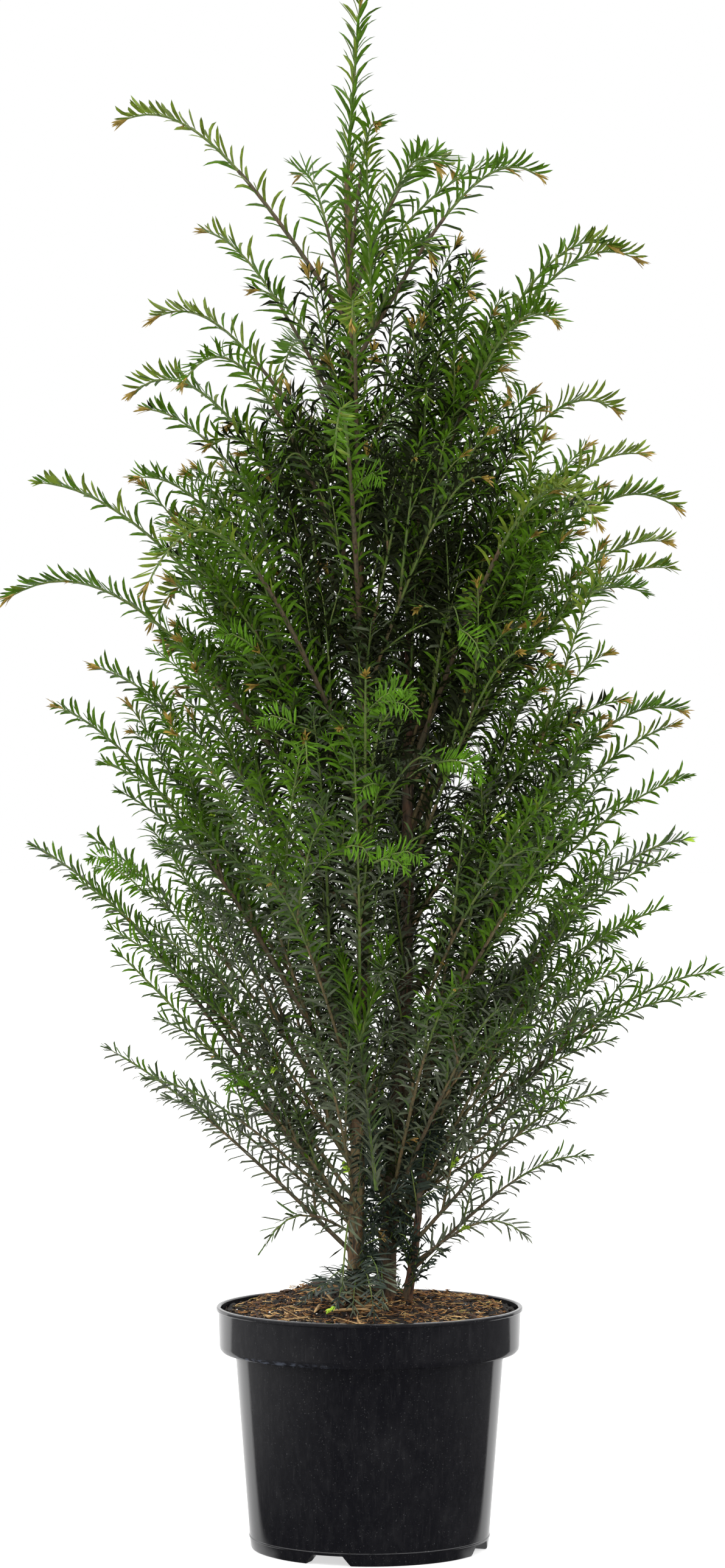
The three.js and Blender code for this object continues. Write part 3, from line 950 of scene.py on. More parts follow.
class Crown:
    """The boughs and every needled shoot on them, by the same rule as the solids and finer."""

    def __init__(self) -> None:
        """Grows the whole crown."""
        self.lines = {name: self._bough(name, row) for name, row in CROWN.items()}
        self.shoots: list[Shoot] = []
        self.low = np.array(CAD_BOX[0]) / MM
        self.high = np.array(CAD_BOX[1]) / MM
        for index, name in enumerate(CROWN):
            self._grow_mass(index, name)
        self._grow_outer()
        self._grow_on_stems()
        self._grow_tops()
        self._grow_sprays()

    # -- rules --

    @staticmethod
    def _bough(name: str, row: Row) -> Arch:
        """The line of a mass's leading shoot, which low in the crown sets out lower on the stem and runs straighter.

        Args:
            name: The mass's name.
            row: Its row.

        Returns:
            The line, to the row's own tip.
        """
        line = row.line()
        if not 320 < row.tip < (2000 if name in FEET else 800):
            return line
        stem = STEMS[row.stem]
        foot, steeper = FEET.get(name, (max(row.foot - LOWER, stem.foot + GROWTH.above_foot), 1.25))
        return Arch.arching(stem.at_height(foot), line.points(1.0)[0], steeper)

    @staticmethod
    def _widths(height: float) -> Pair:
        """The body's half-widths to the left and the right at a height."""
        return tuple(float(np.interp(height, BODY[:, 0], BODY[:, k])) for k in (1, 2))

    def _light(self, place: np.ndarray) -> float:
        """How lit a place in the crown is taken to be, for its needles' tint: painted shade low and deep in it,
        painted light high and outside.
        """
        out = math.hypot(place[0], place[1]) / 300.0
        return 0.2 + 1.7 * up_crown(place[2]) + 1.3 * (out - 0.45)

    def _shade_share(self, place: np.ndarray) -> float:
        """The share of needles painted near black as shade at a place: most of them deep inside and in the hollow,
        none at the top.

        Args:
            place: A place in the crown.

        Returns:
            The share, from 0 to 1.
        """
        deep = math.hypot(place[0], place[1]) / max(sum(self._widths(place[2])), 60.0) * 2
        at, size = PAINTED_SHADE.hollow, PAINTED_SHADE.hollow_size
        hollow = math.hypot((place[0] - at[0]) / size[0], (place[2] - at[1]) / size[1])
        deep -= PAINTED_SHADE.hollow_depth * float(np.clip(PAINTED_SHADE.hollow_edge - hollow, 0, 1))
        share = np.interp(place[2], PAINTED_SHADE.heights, PAINTED_SHADE.shares)
        reach = np.interp(place[2], PAINTED_SHADE.reach_heights, PAINTED_SHADE.reach)
        return float(np.clip((reach - deep) / PAINTED_SHADE.edge, 0, PAINTED_SHADE.most) * share)

    def _tip_tint(self, place: np.ndarray, chance: float) -> Tint | None:
        """The tint of a shoot's tip: bronze high up and outside, lime here and there low down.

        Args:
            place: Where the tip is.
            chance: A random number from 0 to 1.

        Returns:
            The tint, or None for that of its other needles.
        """
        up = up_crown(place[2])
        if up > 0.42 and chance < (0.1 if self._inside(place, -14) else 0.6 + 0.4 * up):
            return Tint.BRONZE
        return Tint.LIME if up < 0.4 and chance > 0.98 else None

    def _inside(self, place: np.ndarray, margin: float = 0.0) -> bool:
        """Whether a place belongs to the crown's full body.

        Args:
            place: A place in the crown.
            margin: How far out of the body it may be.

        Returns:
            True if it is inside.
        """
        left, right = self._widths(place[2])
        across = (left if place[0] < 0 else right) + margin
        deep = DEPTH * (left + right) / 2 + margin
        return math.hypot(place[0] / across, place[1] / deep) < 1.0

    def _fits(self, line: Arch, row: Row | None, margin: float = 0.0) -> bool:
        """Whether a shoot's tip keeps to the plant's box, its mass's space and the crown's body.

        Args:
            line: The shoot's line.
            row: The mass's row, or None if only the box counts.
            margin: How far out of the body the tip may be.

        Returns:
            True if it does.
        """
        tip = line.points(1.0)[0]
        low, high = self.low + GROWTH.clearance, self.high - GROWTH.clearance
        if np.any(tip[:2] < low[:2]) or np.any(tip > high) or tip[2] < GROWTH.lowest:
            return False
        if row is None:
            return True
        out = math.hypot(*(tip - STEMS[row.stem].at_height(row.foot))[:2])
        return tip[2] < row.tip + GROWTH.over and out < row.reach + GROWTH.past and self._inside(tip, margin)

    def _fork(self, parent: Arch, share: float, hand: int, rule: Forking, draw: Seeded) -> Arch:
        """A finer line that leaves a limb.

        Args:
            parent: The limb's line.
            share: Where on it, as a share of its length.
            hand: 1 for the left and -1 for the right.
            rule: How it leaves it.
            draw: The mass's own random numbers.

        Returns:
            The finer line.
        """
        turn = math.radians(hand * draw.between(*rule.turn))
        rise = rule.rise - rule.loss * share + draw.either(rule.spread)
        if rule.onward:
            rise += math.degrees(math.asin(parent.tangents(share)[0][2]))
        length = parent.length * draw.between(*rule.length) * (1.1 - 0.45 * share)
        length *= 1 - 0.3 * float(np.clip((GROWTH.thin_low - parent.points(1.0)[0][2]) / 200, 0, 1))
        length = min(max(length, rule.limits[0]), rule.limits[1])
        sag, bend = draw.between(*rule.sag), draw.either(0.08)
        rise = math.radians(min(max(rise, 12.0), 86.0))
        return Arch(parent.points(share)[0], parent.heading + turn, rise, length, sag, bend)

    def _shortened(self, line: Arch, row: Row | None, draw: Seeded, loose: float = 0.0) -> Arch | None:
        """The line or a shorter one that fits.

        Args:
            line: The line of a shoot.
            row: The row of its mass.
            draw: The mass's own random numbers.
            loose: How much further than others it may stand out of the body.

        Returns:
            The line, or None if even the shortest doesn't fit.
        """
        margin = draw.between(*RAGGED) + loose
        for share in (1.0, 0.8, 0.6):
            tried = Arch(line.root, line.heading, line.rise, line.length * share, line.sag, line.bend)
            if tried.length > GROWTH.shortest and self._fits(tried, row, margin):
                return tried
        return None

    def _shares(self, line: Arch, rule: Forking, draw: Seeded) -> list[float]:
        """Where finer shoots leave a limb: along most of it low down, on its inner half at the top.

        Args:
            line: The limb's line.
            rule: How they leave it.
            draw: The mass's own random numbers.

        Returns:
            Shares of its length.
        """
        tip = line.points(1.0)[0][2]
        top, low = float(np.clip((tip - 850) / 350, 0, 1)), float(np.clip((760 - tip) / 300, 0, 1))
        last = rule.last - (rule.last - 0.46) * top
        count = max(1, round(line.length * (last - rule.first) / (rule.every * (1.06 + 1.6 * low))))
        return [rule.first + (last - rule.first) * (i + draw.next() * 0.8) / count for i in range(count)]

    def _add(self, line: Arch, mass: str, habit: Habit, draw: Seeded, **sizes: object) -> None:
        """Adds a shoot whose tint suits its place.

        Args:
            line: Its line.
            mass: The mass that it belongs to.
            habit: How its needles stand.
            draw: The mass's own random numbers.
            sizes: Other values of the shoot, by name.
        """
        light = self._light(line.points(0.6)[0]) + draw.either(0.36)
        tip = self._tip_tint(line.points(1.0)[0], draw.next())
        shoot = Shoot(line, mass, habit, light, tip=tip, roll=math.radians(draw.either(25)))
        shoot.hidden = self._shade_share(line.points(0.5)[0])
        self.shoots.append(replace(shoot, **sizes))

    # -- masses --

    def _grow_mass(self, index: int, name: str) -> None:
        """Grows a mass: its leading shoot, the solids' side shoots, its further limbs, and finer ones on all.

        Args:
            index: The mass's place in the table.
            name: Its name.
        """
        row, line = CROWN[name], self.lines[name]
        rough, fine = Seeded(index * 7919 + 101), Seeded(index * 104729 + 7)
        if name == "leader":
            self._add(line, name, LEADER, fine, radius=(1.8, 1.0), bare=0.0, tip=Tint.BRONZE, light=1.6)
            return
        brown = 0.6 if row.tip < GROWTH.thin_low else 0.4
        self._add(line, name, LONG, fine, bare=0.1, radius=(self.wood(line, 0.0), 0.9), brown_to=brown, buds=0.15)
        for i in range(row.shoots if row.tip < GROWTH.rough_top else 1 if row.tip < GROWTH.bare_top else 0):
            self._grow_side(self._rough_side(line, row, i, rough), name, row, fine)
        low = row.tip < GROWTH.full_low
        if row.tip < GROWTH.mass_top:
            self._grow_sides(line, name, row, fine, GROWTH.loose if low else 0.0)
        dense = 0.35 if row.tip < GROWTH.thin_low else 0.9 if low else 0.7
        for _ in range(round(row.reach / RISING.each * dense)):
            limb = self._rising(row, fine)
            if self._inside(limb.points(1.0)[0], fine.between(*RAGGED)):
                self._grow_limb(limb, name, fine)

    def _grow_limb(self, limb: Arch, name: str, draw: Seeded, loose: float = 0.0) -> None:
        """Adds a further limb of a mass with its side shoots, if it fits.

        Args:
            limb: Its line.
            name: The mass's name.
            draw: The mass's own random numbers.
            loose: How much further its side shoots may stand out of the body.
        """
        if self._fits(limb, None):
            tip = limb.points(1.0)[0][2]
            brown = 0.55 if tip < GROWTH.thin_low else 0.24
            radius = (1.0 + 0.0028 * limb.length, 0.8)
            self._add(limb, name, LONG, draw, bare=0.06, radius=radius, brown_to=brown, buds=0.15)
            if tip < GROWTH.limb_top:
                self._grow_sides(limb, name, CROWN[name], draw, loose)

    def _rising(self, row: Row, draw: Seeded) -> Arch:
        """A further limb of a mass.

        Args:
            row: The mass's row.
            draw: The mass's own random numbers.

        Returns:
            Its line, from the stem to a tip within the mass's reach.
        """
        stem = STEMS[row.stem]
        heading = math.radians(row.heading + draw.either(RISING.turn))
        reach = row.reach * draw.between(*RISING.reach)
        height = row.tip - draw.between(*RISING.drop)
        foot = height - reach * draw.between(*RISING.slope)
        foot = min(max(foot, stem.foot + GROWTH.above_foot), stem.top - GROWTH.below_top)
        way = np.array([math.cos(heading) * reach, math.sin(heading) * reach, height - foot])
        rise = math.atan(draw.between(*RISING.arching) * way[2] / reach)
        root = stem.at_height(foot)
        return Arch.reaching(root, root + way, rise, draw.either(0.1))

    def _rough_side(self, line: Arch, row: Row, i: int, draw: Seeded) -> Arch:
        """One of the side shoots that the mass's solid has too, with numbers drawn in the same order.

        Args:
            line: The mass's leading shoot.
            row: Its row.
            i: The side shoot's number, even to the right and odd to the left.
            draw: The numbers that the solid was drawn from.

        Returns:
            Its line.
        """
        start = i / row.shoots + 0.35 * draw.next() / row.shoots
        share = row.bare_to + 0.05 + (0.82 - row.bare_to) * start
        turn = math.radians((1 if i % 2 else -1) * draw.between(24, 48))
        rise = math.radians(66 - 28 * share + draw.either(11))
        length = line.length * (1 - row.bare_to) * draw.between(0.42, 0.58) * (1.12 - 0.5 * share)
        sag, bend = draw.between(0.34, 0.54), draw.either(0.08)
        draw.next()
        return Arch(line.points(share)[0], line.heading + turn, rise, length, sag, bend)

    def _grow_sides(self, line: Arch, name: str, row: Row, draw: Seeded, loose: float = 0.0) -> None:
        """Adds a limb's side shoots, to the left and right in turn."""
        for i, share in enumerate(self._shares(line, SECOND, draw)):
            self._grow_side(self._fork(line, share, -1 if i % 2 else 1, SECOND, draw), name, row, draw, loose)

    def _grow_side(self, side: Arch, name: str, row: Row, draw: Seeded, loose: float = 0.0) -> None:
        """Adds a side shoot with its own finer shoots, if it fits.

        Args:
            side: Its line.
            name: The mass's name.
            row: The mass's row.
            draw: The mass's own random numbers.
            loose: How much further than others it may stand out of the body.
        """
        line = self._shortened(side, row, draw, loose)
        if line is None:
            return
        long = line.length > GROWTH.long
        fresh = {"tint": Tint.FRESH} if draw.next() < 0.1 and not long else {}
        self._add(
            line, name, SIDE if long else TWIG, draw, bare=0.04, radius=(1.0 + line.length * 0.0034, 0.6),
            brown_to=(0.3 if line.root[2] < 480 else 0.1) if long else 0.0, buds=0.1 * long, **fresh,
        )
        if line.length < GROWTH.forking or line.points(1.0)[0][2] > GROWTH.fork_top:
            return
        for i, share in enumerate(self._shares(line, THIRD, draw)):
            twig = self._shortened(self._fork(line, share, -1 if i % 2 else 1, THIRD, draw), row, draw, loose)
            if twig is not None:
                fresh = {"tint": Tint.FRESH} if draw.next() < 0.06 else {}
                self._add(twig, name, TWIG, draw, bare=0.02, radius=(0.9, 0.5), **fresh)

    def wood(self, line: Arch, share: float) -> float:
        """Radius of a bough at a share of its line."""
        return 0.8 + (0.9 + 0.0037 * line.length - 0.8) * (1 - share) ** 1.25

    # -- placed shoots --

    def _grow_outer(self) -> None:
        """Adds the long shoots that stand out at the crown's edge."""
        for number, (mass, stem, foot, tip, steeper) in enumerate(OUTER):
            draw = Seeded(number * 6151 + 33)
            loose = 0.0 if tip[2] > GROWTH.full_low else GROWTH.loose_outer
            line = Arch.arching(STEMS[stem].at_height(foot), np.array(tip, float), steeper, draw.either(0.06))
            self._grow_limb(line, mass, draw, loose)

    @staticmethod
    def _mass_near(stem: str, height: float) -> str:
        """The mass whose bough leaves a stem nearest to a height."""
        on_stem = [name for name, row in CROWN.items() if row.stem == stem]
        return min(on_stem, key=lambda name: abs(CROWN[name].foot - height))

    def _grow_on_stems(self) -> None:
        """Adds the shoots that stand on the stems themselves: short and crowded at the foot, long above."""
        for number, (name, stem) in enumerate(STEMS.items()):
            draw = Seeded(number * 9176 + 5)
            height = STEM_SHOOTS.lowest
            while height < stem.top - 12:
                low = height < STEM_SHOOTS.foot_to
                rule = STEM_SHOOTS.foot if low else STEM_SHOOTS.above
                turn = draw.between(*(STEM_SHOOTS.sides[name] if low else (0, 360)))
                line = Arch(
                    stem.at_height(height), math.radians(turn), math.radians(draw.between(*rule.rise)),
                    draw.between(*rule.length), draw.between(0.04, 0.24), draw.either(0.1),
                )
                if self._inside(line.points(1.0)[0], 8) and self._fits(line, None):
                    mass = self._mass_near(name, height)
                    if low:
                        # Painted shade: the shoots at the foot get the dark dusk tint.
                        sizes = {"bare": 0.06, "radius": (1.0, 0.5), "roll": draw.between(0, 6.3), "tint": Tint.DUSK}
                        self._add(line, mass, FOOT, draw, **sizes)
                    else:
                        # Painted shade: inside the crown a share of these shoots' needles is near black.
                        inner = float(np.interp(line.root[2], STEM_SHOOTS.dark_heights, STEM_SHOOTS.dark))
                        radius = (1.1 + 0.003 * line.length, 0.6)
                        self._add(line, mass, SIDE, draw, bare=0.05, radius=radius, hidden=0.75 * inner)
                sparse = STEM_SHOOTS.foot_to < height < STEM_SHOOTS.sparse_to
                height += draw.between(*rule.every) * (STEM_SHOOTS.sparser if sparse else 1.0)

    def _grow_tops(self) -> None:
        """Adds the needles of the stems' own young ends, and the shoots that they end in."""
        for number, (mass, root, tip) in enumerate(TOPS):
            draw = Seeded(number * 3301 + 9)
            # Painted light: the higher a young end, the lighter its tint.
            light = float(np.interp(tip[2], (470, 550, 1000, 1200), (0.5, 1.1, 1.1, 1.6)))
            thick = (1.9, 1.6 if number == 0 else 0.7)
            line = Arch.arching(np.array(root, float), np.array(tip, float), 1.0)
            self._add(line, mass, LEADER, draw, bare=0.0, radius=thick, tip=None, light=light, hidden=0.0)

    def _nearest(self, place: np.ndarray) -> np.ndarray:
        """The place on any shoot so far that is nearest to a place."""
        spots = np.concatenate([shoot.line.points(np.linspace(0.1, 1.0, 10)) for shoot in self.shoots])
        return spots[np.argmin(np.linalg.norm(spots - place, axis=1))]

    def _grow_sprays(self) -> None:
        """Adds the placed sprays: those at the crown's foot as given, the others from the nearest shoot."""
        for number, (mass, tint, root, tip, rise, roll) in enumerate(SPRAYS):
            draw = Seeded(number * 4001 + 77)
            habit = SPRAY_HABITS[tint]
            foot, way = np.array(root, float), np.subtract(tip, root).astype(float)
            if habit is not FOOT:
                foot = self._nearest(foot)
            line = Arch.reaching(foot, foot + way, math.radians(rise), draw.either(0.04))
            end, turn = None if habit is FOOT else tint, math.radians(roll)
            self._add(line, mass, habit, draw, tint=tint, tip=end, bare=0.04, radius=(1.0, 0.5), roll=turn)


@dataclass(frozen=True)
class Standing:
    """How shoots stand on a stretch of stem: their distance, length and rise."""

    every: Pair
    length: Pair
    rise: Pair


@dataclass(frozen=True)
class StemShoots:
    """Where shoots stand on the stems, by stretch, and the headings of those at the foot of each stem.

    Between `foot_to` and `sparse_to` they are `sparser` times as far apart, and `dark` gives, at `dark_heights` above
    the foot, how much of their needles are painted near black as shade.
    """

    lowest: float = 226.0
    foot_to: float = 400.0
    sparse_to: float = 640.0
    sparser: float = 1.9
    dark_heights: tuple[float, ...] = (430, 560, 1000, 1160)
    dark: tuple[float, ...] = (0.3, 1, 1, 0)
    sides: dict[str, Pair] = field(
        default_factory=lambda: {"main": (-84.0, 70.0), "second": (60.0, 290.0), "low": (0.0, 360.0)},
    )
    foot: Standing = Standing((3.0, 7.5), (22.0, 62.0), (20.0, 78.0))
    above: Standing = Standing((3.5, 9.5), (60.0, 180.0), (28.0, 80.0))


STEM_SHOOTS = StemShoots()

# The stems' young ends: the mass nearest to them, their root and their tip.
TOPS = [
    ("top_front", (-17.0, -9.0, 1040), (-20.6, -8.0, 1250)),
    ("top_front", (2.0, -48.0, 1110), (-3.0, -58.0, 1272)),
    ("high_right", (44, 26, 1046), (58, 34, 1150)),
    ("high_right", (39, 24.5, 930), (44, 26, 1046)),
    ("hem_right_low", (59, -10, 390), (92, -22, 492)),
    ("hem_front", (6, -62, 331), (-9, -78, 470)),
    ("hem_front", (-9, -78, 466), (-26, -86, 546)),
    ("hem_front", (-9, -78, 466), (18, -88, 556)),
]

# The long shoots at the crown's edge: their mass, stem, height of foot and tip, and how much they arch.
OUTER = [
    ("high_left", "main", 1040, (-106, -50, 1142), 1.5),
    ("shoulder_left", "main", 800, (-199, -60, 1035), 1.4),
    ("waist_left", "main", 720, (-215, -60, 971), 1.5),
    ("waist_left_low", "main", 560, (-249, -40, 803), 1.3),
    ("skirt_left", "main", 480, (-238, -60, 716), 1.3),
    ("skirt_left", "main", 430, (-226, 20, 690), 1.25),
    ("skirt_left_low", "main", 350, (-234, -50, 566), 1.2),
    ("skirt_left_low", "main", 315, (-264, -40, 610), 1.2),
    ("skirt_left_low", "main", 375, (-255, 40, 648), 1.2),
    ("hem_left_high", "main", 300, (-187, -50, 484), 1.25),
    ("hem_left", "main", 300, (-204, -40, 431), 1.35),
    ("hem_left", "main", 290, (-190, 30, 408), 1.35),
    ("top_right", "main", 1130, (64, -45, 1255), 1.8),
    ("top_right", "main", 1147, (130, 10, 1261), 1.6),
    ("high_right", "second", 960, (222, 20, 1190), 1.6),
    ("high_right", "second", 920, (146, -70, 1124), 1.5),
    ("shoulder_right", "second", 780, (246, -40, 996), 1.5),
    ("waist_right", "second", 690, (272, 40, 920), 1.5),
    ("waist_right", "second", 660, (267, -45, 893), 1.5),
    ("waist_right_low", "second", 560, (228, -60, 772), 1.4),
    ("shoulder_right", "second", 760, (205, -70, 945), 1.5),
    ("waist_left", "main", 660, (-190, -70, 905), 1.4),
    ("high_right", "second", 1000, (94, -44, 1142), 1.6),
    ("high_right", "main", 1060, (62, 26, 1186), 1.8),
    ("shoulder_right_front", "main", 770, (100, -134, 968), 1.5),
    ("waist_right_front", "second", 610, (142, -158, 812), 1.4),
    ("shoulder_left_back", "main", 760, (-104, 132, 965), 1.5),
    ("waist_back_left", "main", 610, (-146, 158, 822), 1.4),
    ("skirt_right", "second", 490, (276, 50, 751), 1.3),
    ("skirt_right", "second", 450, (284, -45, 703), 1.3),
    ("skirt_right", "second", 440, (236, 60, 681), 1.3),
    ("skirt_right_low", "second", 380, (281, 45, 629), 1.3),
    ("skirt_right_low", "second", 360, (266, -60, 585), 1.3),
    ("hem_right", "second", 330, (234, -50, 530), 1.3),
    ("hem_right", "second", 330, (304, 30, 501), 1.4),
    ("hem_right", "second", 330, (246, 0, 566), 1.4),
    ("hem_right", "second", 310, (206, -70, 486), 1.4),
    ("hem_right_mid", "second", 300, (222, 10, 462), 1.35),
    ("hem_right_mid", "second", 290, (192, -40, 428), 1.3),
    ("hem_right_mid", "second", 300, (176, -50, 392), 1.3),
    ("hem_back", "second", 300, (40, 168, 440), 1.35),
    ("hem_back", "main", 330, (-50, 190, 530), 1.35),
    ("skirt_back", "second", 430, (60, 226, 655), 1.35),
    ("skirt_back_left", "main", 420, (-110, 204, 630), 1.35),
    ("waist_back", "second", 590, (10, 240, 800), 1.4),
    ("waist_back_right", "second", 600, (120, 214, 830), 1.4),
    ("hem_front", "main", 300, (-40, -176, 470), 1.35),
    ("hem_front_right", "second", 310, (70, -190, 520), 1.35),
    ("skirt_left_front", "main", 400, (-90, -206, 620), 1.35),
    ("skirt_right_front", "second", 430, (120, -196, 640), 1.35),
    ("skirt_left_low", "main", 340, (-192, -60, 560), 1.3),
]

# The placed sprays: mass, tint, root, tip, rise and roll. The tint tells what kind of spray it is; the dusk and shade
# sprays at the foot are dark as painted shade.
SPRAY_HABITS = {Tint.FRESH: FEATHER, Tint.DUSK: FOOT, Tint.SHADE: FOOT, Tint.LIME: TUFT, Tint.OCHRE: DEAD}
SPRAYS = [
    ("waist_front", Tint.FRESH, (-15, -190, 793), (27, -212, 808), 42, 70),
    ("waist_right_front", Tint.FRESH, (80, -180, 821), (101, -205, 790), -20, 62),
    ("waist_front", Tint.FRESH, (-53, -190, 742), (-51, -208, 708), -30, 8),
    ("waist_right_front", Tint.FRESH, (18, -185, 762), (56, -212, 748), 8, 66),
    ("waist_right_front", Tint.FRESH, (68, -180, 745), (108, -205, 730), 10, 64),
    ("skirt_front", Tint.FRESH, (38, -190, 714), (76, -212, 697), 12, 66),
    ("skirt_front", Tint.FRESH, (31, -190, 712), (10, -212, 698), 10, -66),
    ("skirt_front", Tint.FRESH, (5, -190, 625), (32, -214, 613), 16, 66),
    ("skirt_right_front", Tint.FRESH, (32, -190, 606), (76, -210, 608), 26, 68),
    ("skirt_right_front", Tint.FRESH, (34, -190, 598), (58, -212, 588), 6, 64),
    ("shoulder_front", Tint.FRESH, (-30, -150, 940), (-2, -178, 948), 44, 66),
    ("waist_left_front", Tint.FRESH, (-96, -170, 830), (-130, -190, 842), 36, -66),
    ("waist_left_front", Tint.FRESH, (-92, -175, 805), (-126, -195, 808), 30, -66),
    ("hem_left_high", Tint.FRESH, (-215, -30, 610), (-262, -40, 628), 40, -60),
    ("skirt_left_low", Tint.FRESH, (-190, -70, 600), (-232, -84, 622), 44, -60),
    ("foot_front", Tint.DUSK, (-12, -9, 250), (-44, -66, 236), 14, -12),
    ("foot_front", Tint.DUSK, (-12, -9, 246), (-32, -84, 229), 8, -8),
    ("foot_front", Tint.DUSK, (-12, -9, 240), (-60, -44, 228), 12, -20),
    ("foot_front", Tint.DUSK, (-10, -9, 252), (2, -90, 220), 12, 4),
    ("foot_front", Tint.SHADE, (-10, -9, 246), (-14, -82, 224), 10, 0),
    ("foot_front", Tint.DUSK, (-8, -9, 262), (10, -70, 238), 20, 8),
    ("foot_front", Tint.SHADE, (8, -2, 254), (14, -78, 230), 12, 4),
    ("foot_front", Tint.LIME, (-32, -85, 229), (-38, -90, 227), -10, 0),
    ("foot_front", Tint.LIME, (-36, -40, 334), (-40, -48, 342), 40, 0),
    ("hem_right_foot", Tint.LIME, (64, -30, 340), (68, -36, 348), 50, 0),
    ("hem_right_foot", Tint.LIME, (97, -24, 318), (103, -30, 322), 30, 0),
    ("hem_right_foot", Tint.LIME, (90, -24, 270), (96, -30, 274), 30, 0),
    ("foot_front", Tint.OCHRE, (-16, -20, 372), (-30, -30, 378), 30, 0),
    ("foot_front", Tint.OCHRE, (24, -20, 366), (36, -28, 372), 30, 0),
    ("foot_front", Tint.OCHRE, (10, -22, 284), (18, -28, 278), 0, 0),
]


# ---- Needles ----


class NeedleBed:
    """Every needle of the crown, as arrays, and the meshes that they are joined into."""

    STATIONS = (0.0, 0.26, 0.54, 0.8, 1.0)  # shares of a needle's length: its root, three rings and its tip
    WIDTHS = (0.88, 1.0, 0.8)  # of its full width, at the rings
    RIDGE = 0.2  # the height of its ridge, as a share of its width
    HANG = (0.62, 0.2)  # how far needles hang at their tips, low down and high up
    LIMIT = 190000  # triangles in a piece
    RINGS = {Tint.DARK: 1, Tint.DUSK: 2, Tint.SHADE: 2, Tint.DEEP: 2, Tint.OCHRE: 2}  # 3 for the others
    KEPT = {1: (0, 4, 5, 6, 10), 2: (0, 1, 2, 3, 7, 8, 9, 10), 3: tuple(range(11))}  # corners by number of rings

    def __init__(self) -> None:
        """Starts empty."""
        self.blades: dict[Tint, list[np.ndarray]] = {tint: [] for tint in Tint}
        self.masses: dict[Tint, list[tuple[int, str]]] = {tint: [] for tint in Tint}

    def count(self) -> int:
        """The number of needles so far."""
        return sum(len(part) for parts in self.blades.values() for part in parts)

    def add_shoot(self, shoot: Shoot, number: int) -> None:
        """Sets a shoot's needles, its tip's and its buds'.

        Args:
            shoot: The shoot.
            number: Its number, which seeds its needles.
        """
        draw = np.random.default_rng(number * 31 + 11)
        line, habit = shoot.line, shoot.habit
        high = float(np.clip(up_crown(line.points(0.6)[0][2]), 0, 1))
        grown = 0.79 + 0.31 * high
        spread = habit.flat[0] > 0.9
        span = line.length * (1 - shoot.bare)
        count = max(6, int(span / (habit.pitch * (1.0 if spread else 0.6 + 0.46 * high * high))))
        along = np.clip((np.arange(count) + draw.uniform(0, 0.7, count)) / count, 0, 0.99)
        share = shoot.bare + (1 - shoot.bare) * along
        near_tip = (1 - along) * span
        size = habit.length * grown * (0.72 + 0.28 * np.sin(np.pi * np.clip(0.14 + along * 0.8, 0, 1)))
        size *= draw.uniform(0.76, 1.22 - 0.14 * high, count) * np.clip(0.5 + near_tip / 36, 0.5, 1)
        lean = np.radians(np.stack([np.full(count, habit.lean[0]), np.full(count, habit.lean[1])]))
        lean = lean * np.clip(0.4 + near_tip / 26, 0.4, 1) + np.radians(draw.normal(0, 9, (2, count)))
        spiral = (np.arange(count) * GOLDEN + draw.uniform(0, 360) + draw.normal(0, 12, count) + 180) % 360 - 180
        tangent = line.tangents(share)
        level = np.clip((58 - np.degrees(np.arcsin(tangent[:, 2]))) / 45, 0, 1)
        kept = 1.0 if spread else min(1.0, 0.35 + 1.3 * high)
        flat = (habit.flat[0] + (habit.flat[1] - habit.flat[0]) * level) * kept
        ranks = habit.ranks[0] + (habit.ranks[1] - habit.ranks[0]) * level + draw.normal(0, 13, count)
        around = np.radians((1 - flat) * spiral + flat * np.where(spiral < 0, -ranks, ranks))
        width = habit.width * (0.74 + 0.24 * high) * draw.uniform(0.88, 1.1, count)
        width *= np.clip(0.6 + near_tip / 60, 0.6, 1)
        # Painted light: needles on the upper side of the shoot get a lighter tint. The rise along the shoot is the
        # young needles' own lighter colour.
        light = shoot.light + 0.45 * (along - 0.5) + 0.25 * np.cos(around) + draw.normal(0, 0.15, count)
        tints = self._tints(light, shoot.tint)
        # Painted shade: a share of the needles deep inside the crown is dealt the near-black tint.
        if shoot.tint is None:
            tints[draw.uniform(0, 1, count) < shoot.hidden] = list(Tint).index(Tint.DARK)
        self._keep(shoot, share, around, lean, size, width, habit.twist, tints, draw)
        self._add_tip(shoot, grown, draw)
        if shoot.buds > 0:
            self._add_buds(shoot, span, draw)

    @staticmethod
    def _tints(light: np.ndarray, tint: Tint | None) -> np.ndarray:
        """Deals needles their tints.

        Args:
            light: How light each needle is.
            tint: One tint for all of them, or None.

        Returns:
            The tints' numbers.
        """
        order = list(Tint)
        if tint is not None:
            return np.full(len(light), order.index(tint))
        return np.array([order.index(level) for level in LEVELS])[np.searchsorted(LEVEL_ENDS, light)]

    def _add_tip(self, shoot: Shoot, grown: float, draw: np.random.Generator) -> None:
        """Sets the tuft of young needles round a shoot's end bud.

        Args:
            shoot: The shoot.
            grown: The size of needles at its height, as a share of their full size.
            draw: The shoot's own random numbers.
        """
        young = shoot.tip in (Tint.BRONZE, Tint.LIME)
        count = 9 if young else 5
        spread = min(12.0, shoot.line.length * 0.2) / shoot.line.length
        share = 1 - spread * draw.uniform(0, 1, count)
        around = np.radians(np.arange(count) * GOLDEN + draw.uniform(0, 360))
        lean = np.radians(np.stack([draw.uniform(6, 20, count), draw.uniform(12, 34, count)]))
        size = shoot.habit.length * grown * draw.uniform(0.34, 0.64 if young else 0.5, count)
        tints = self._tints(np.full(count, shoot.light + 0.3), shoot.tip or shoot.tint)
        self._keep(shoot, share, around, lean, size, np.full(count, 2.0 if young else 1.6), 0.2, tints, draw)

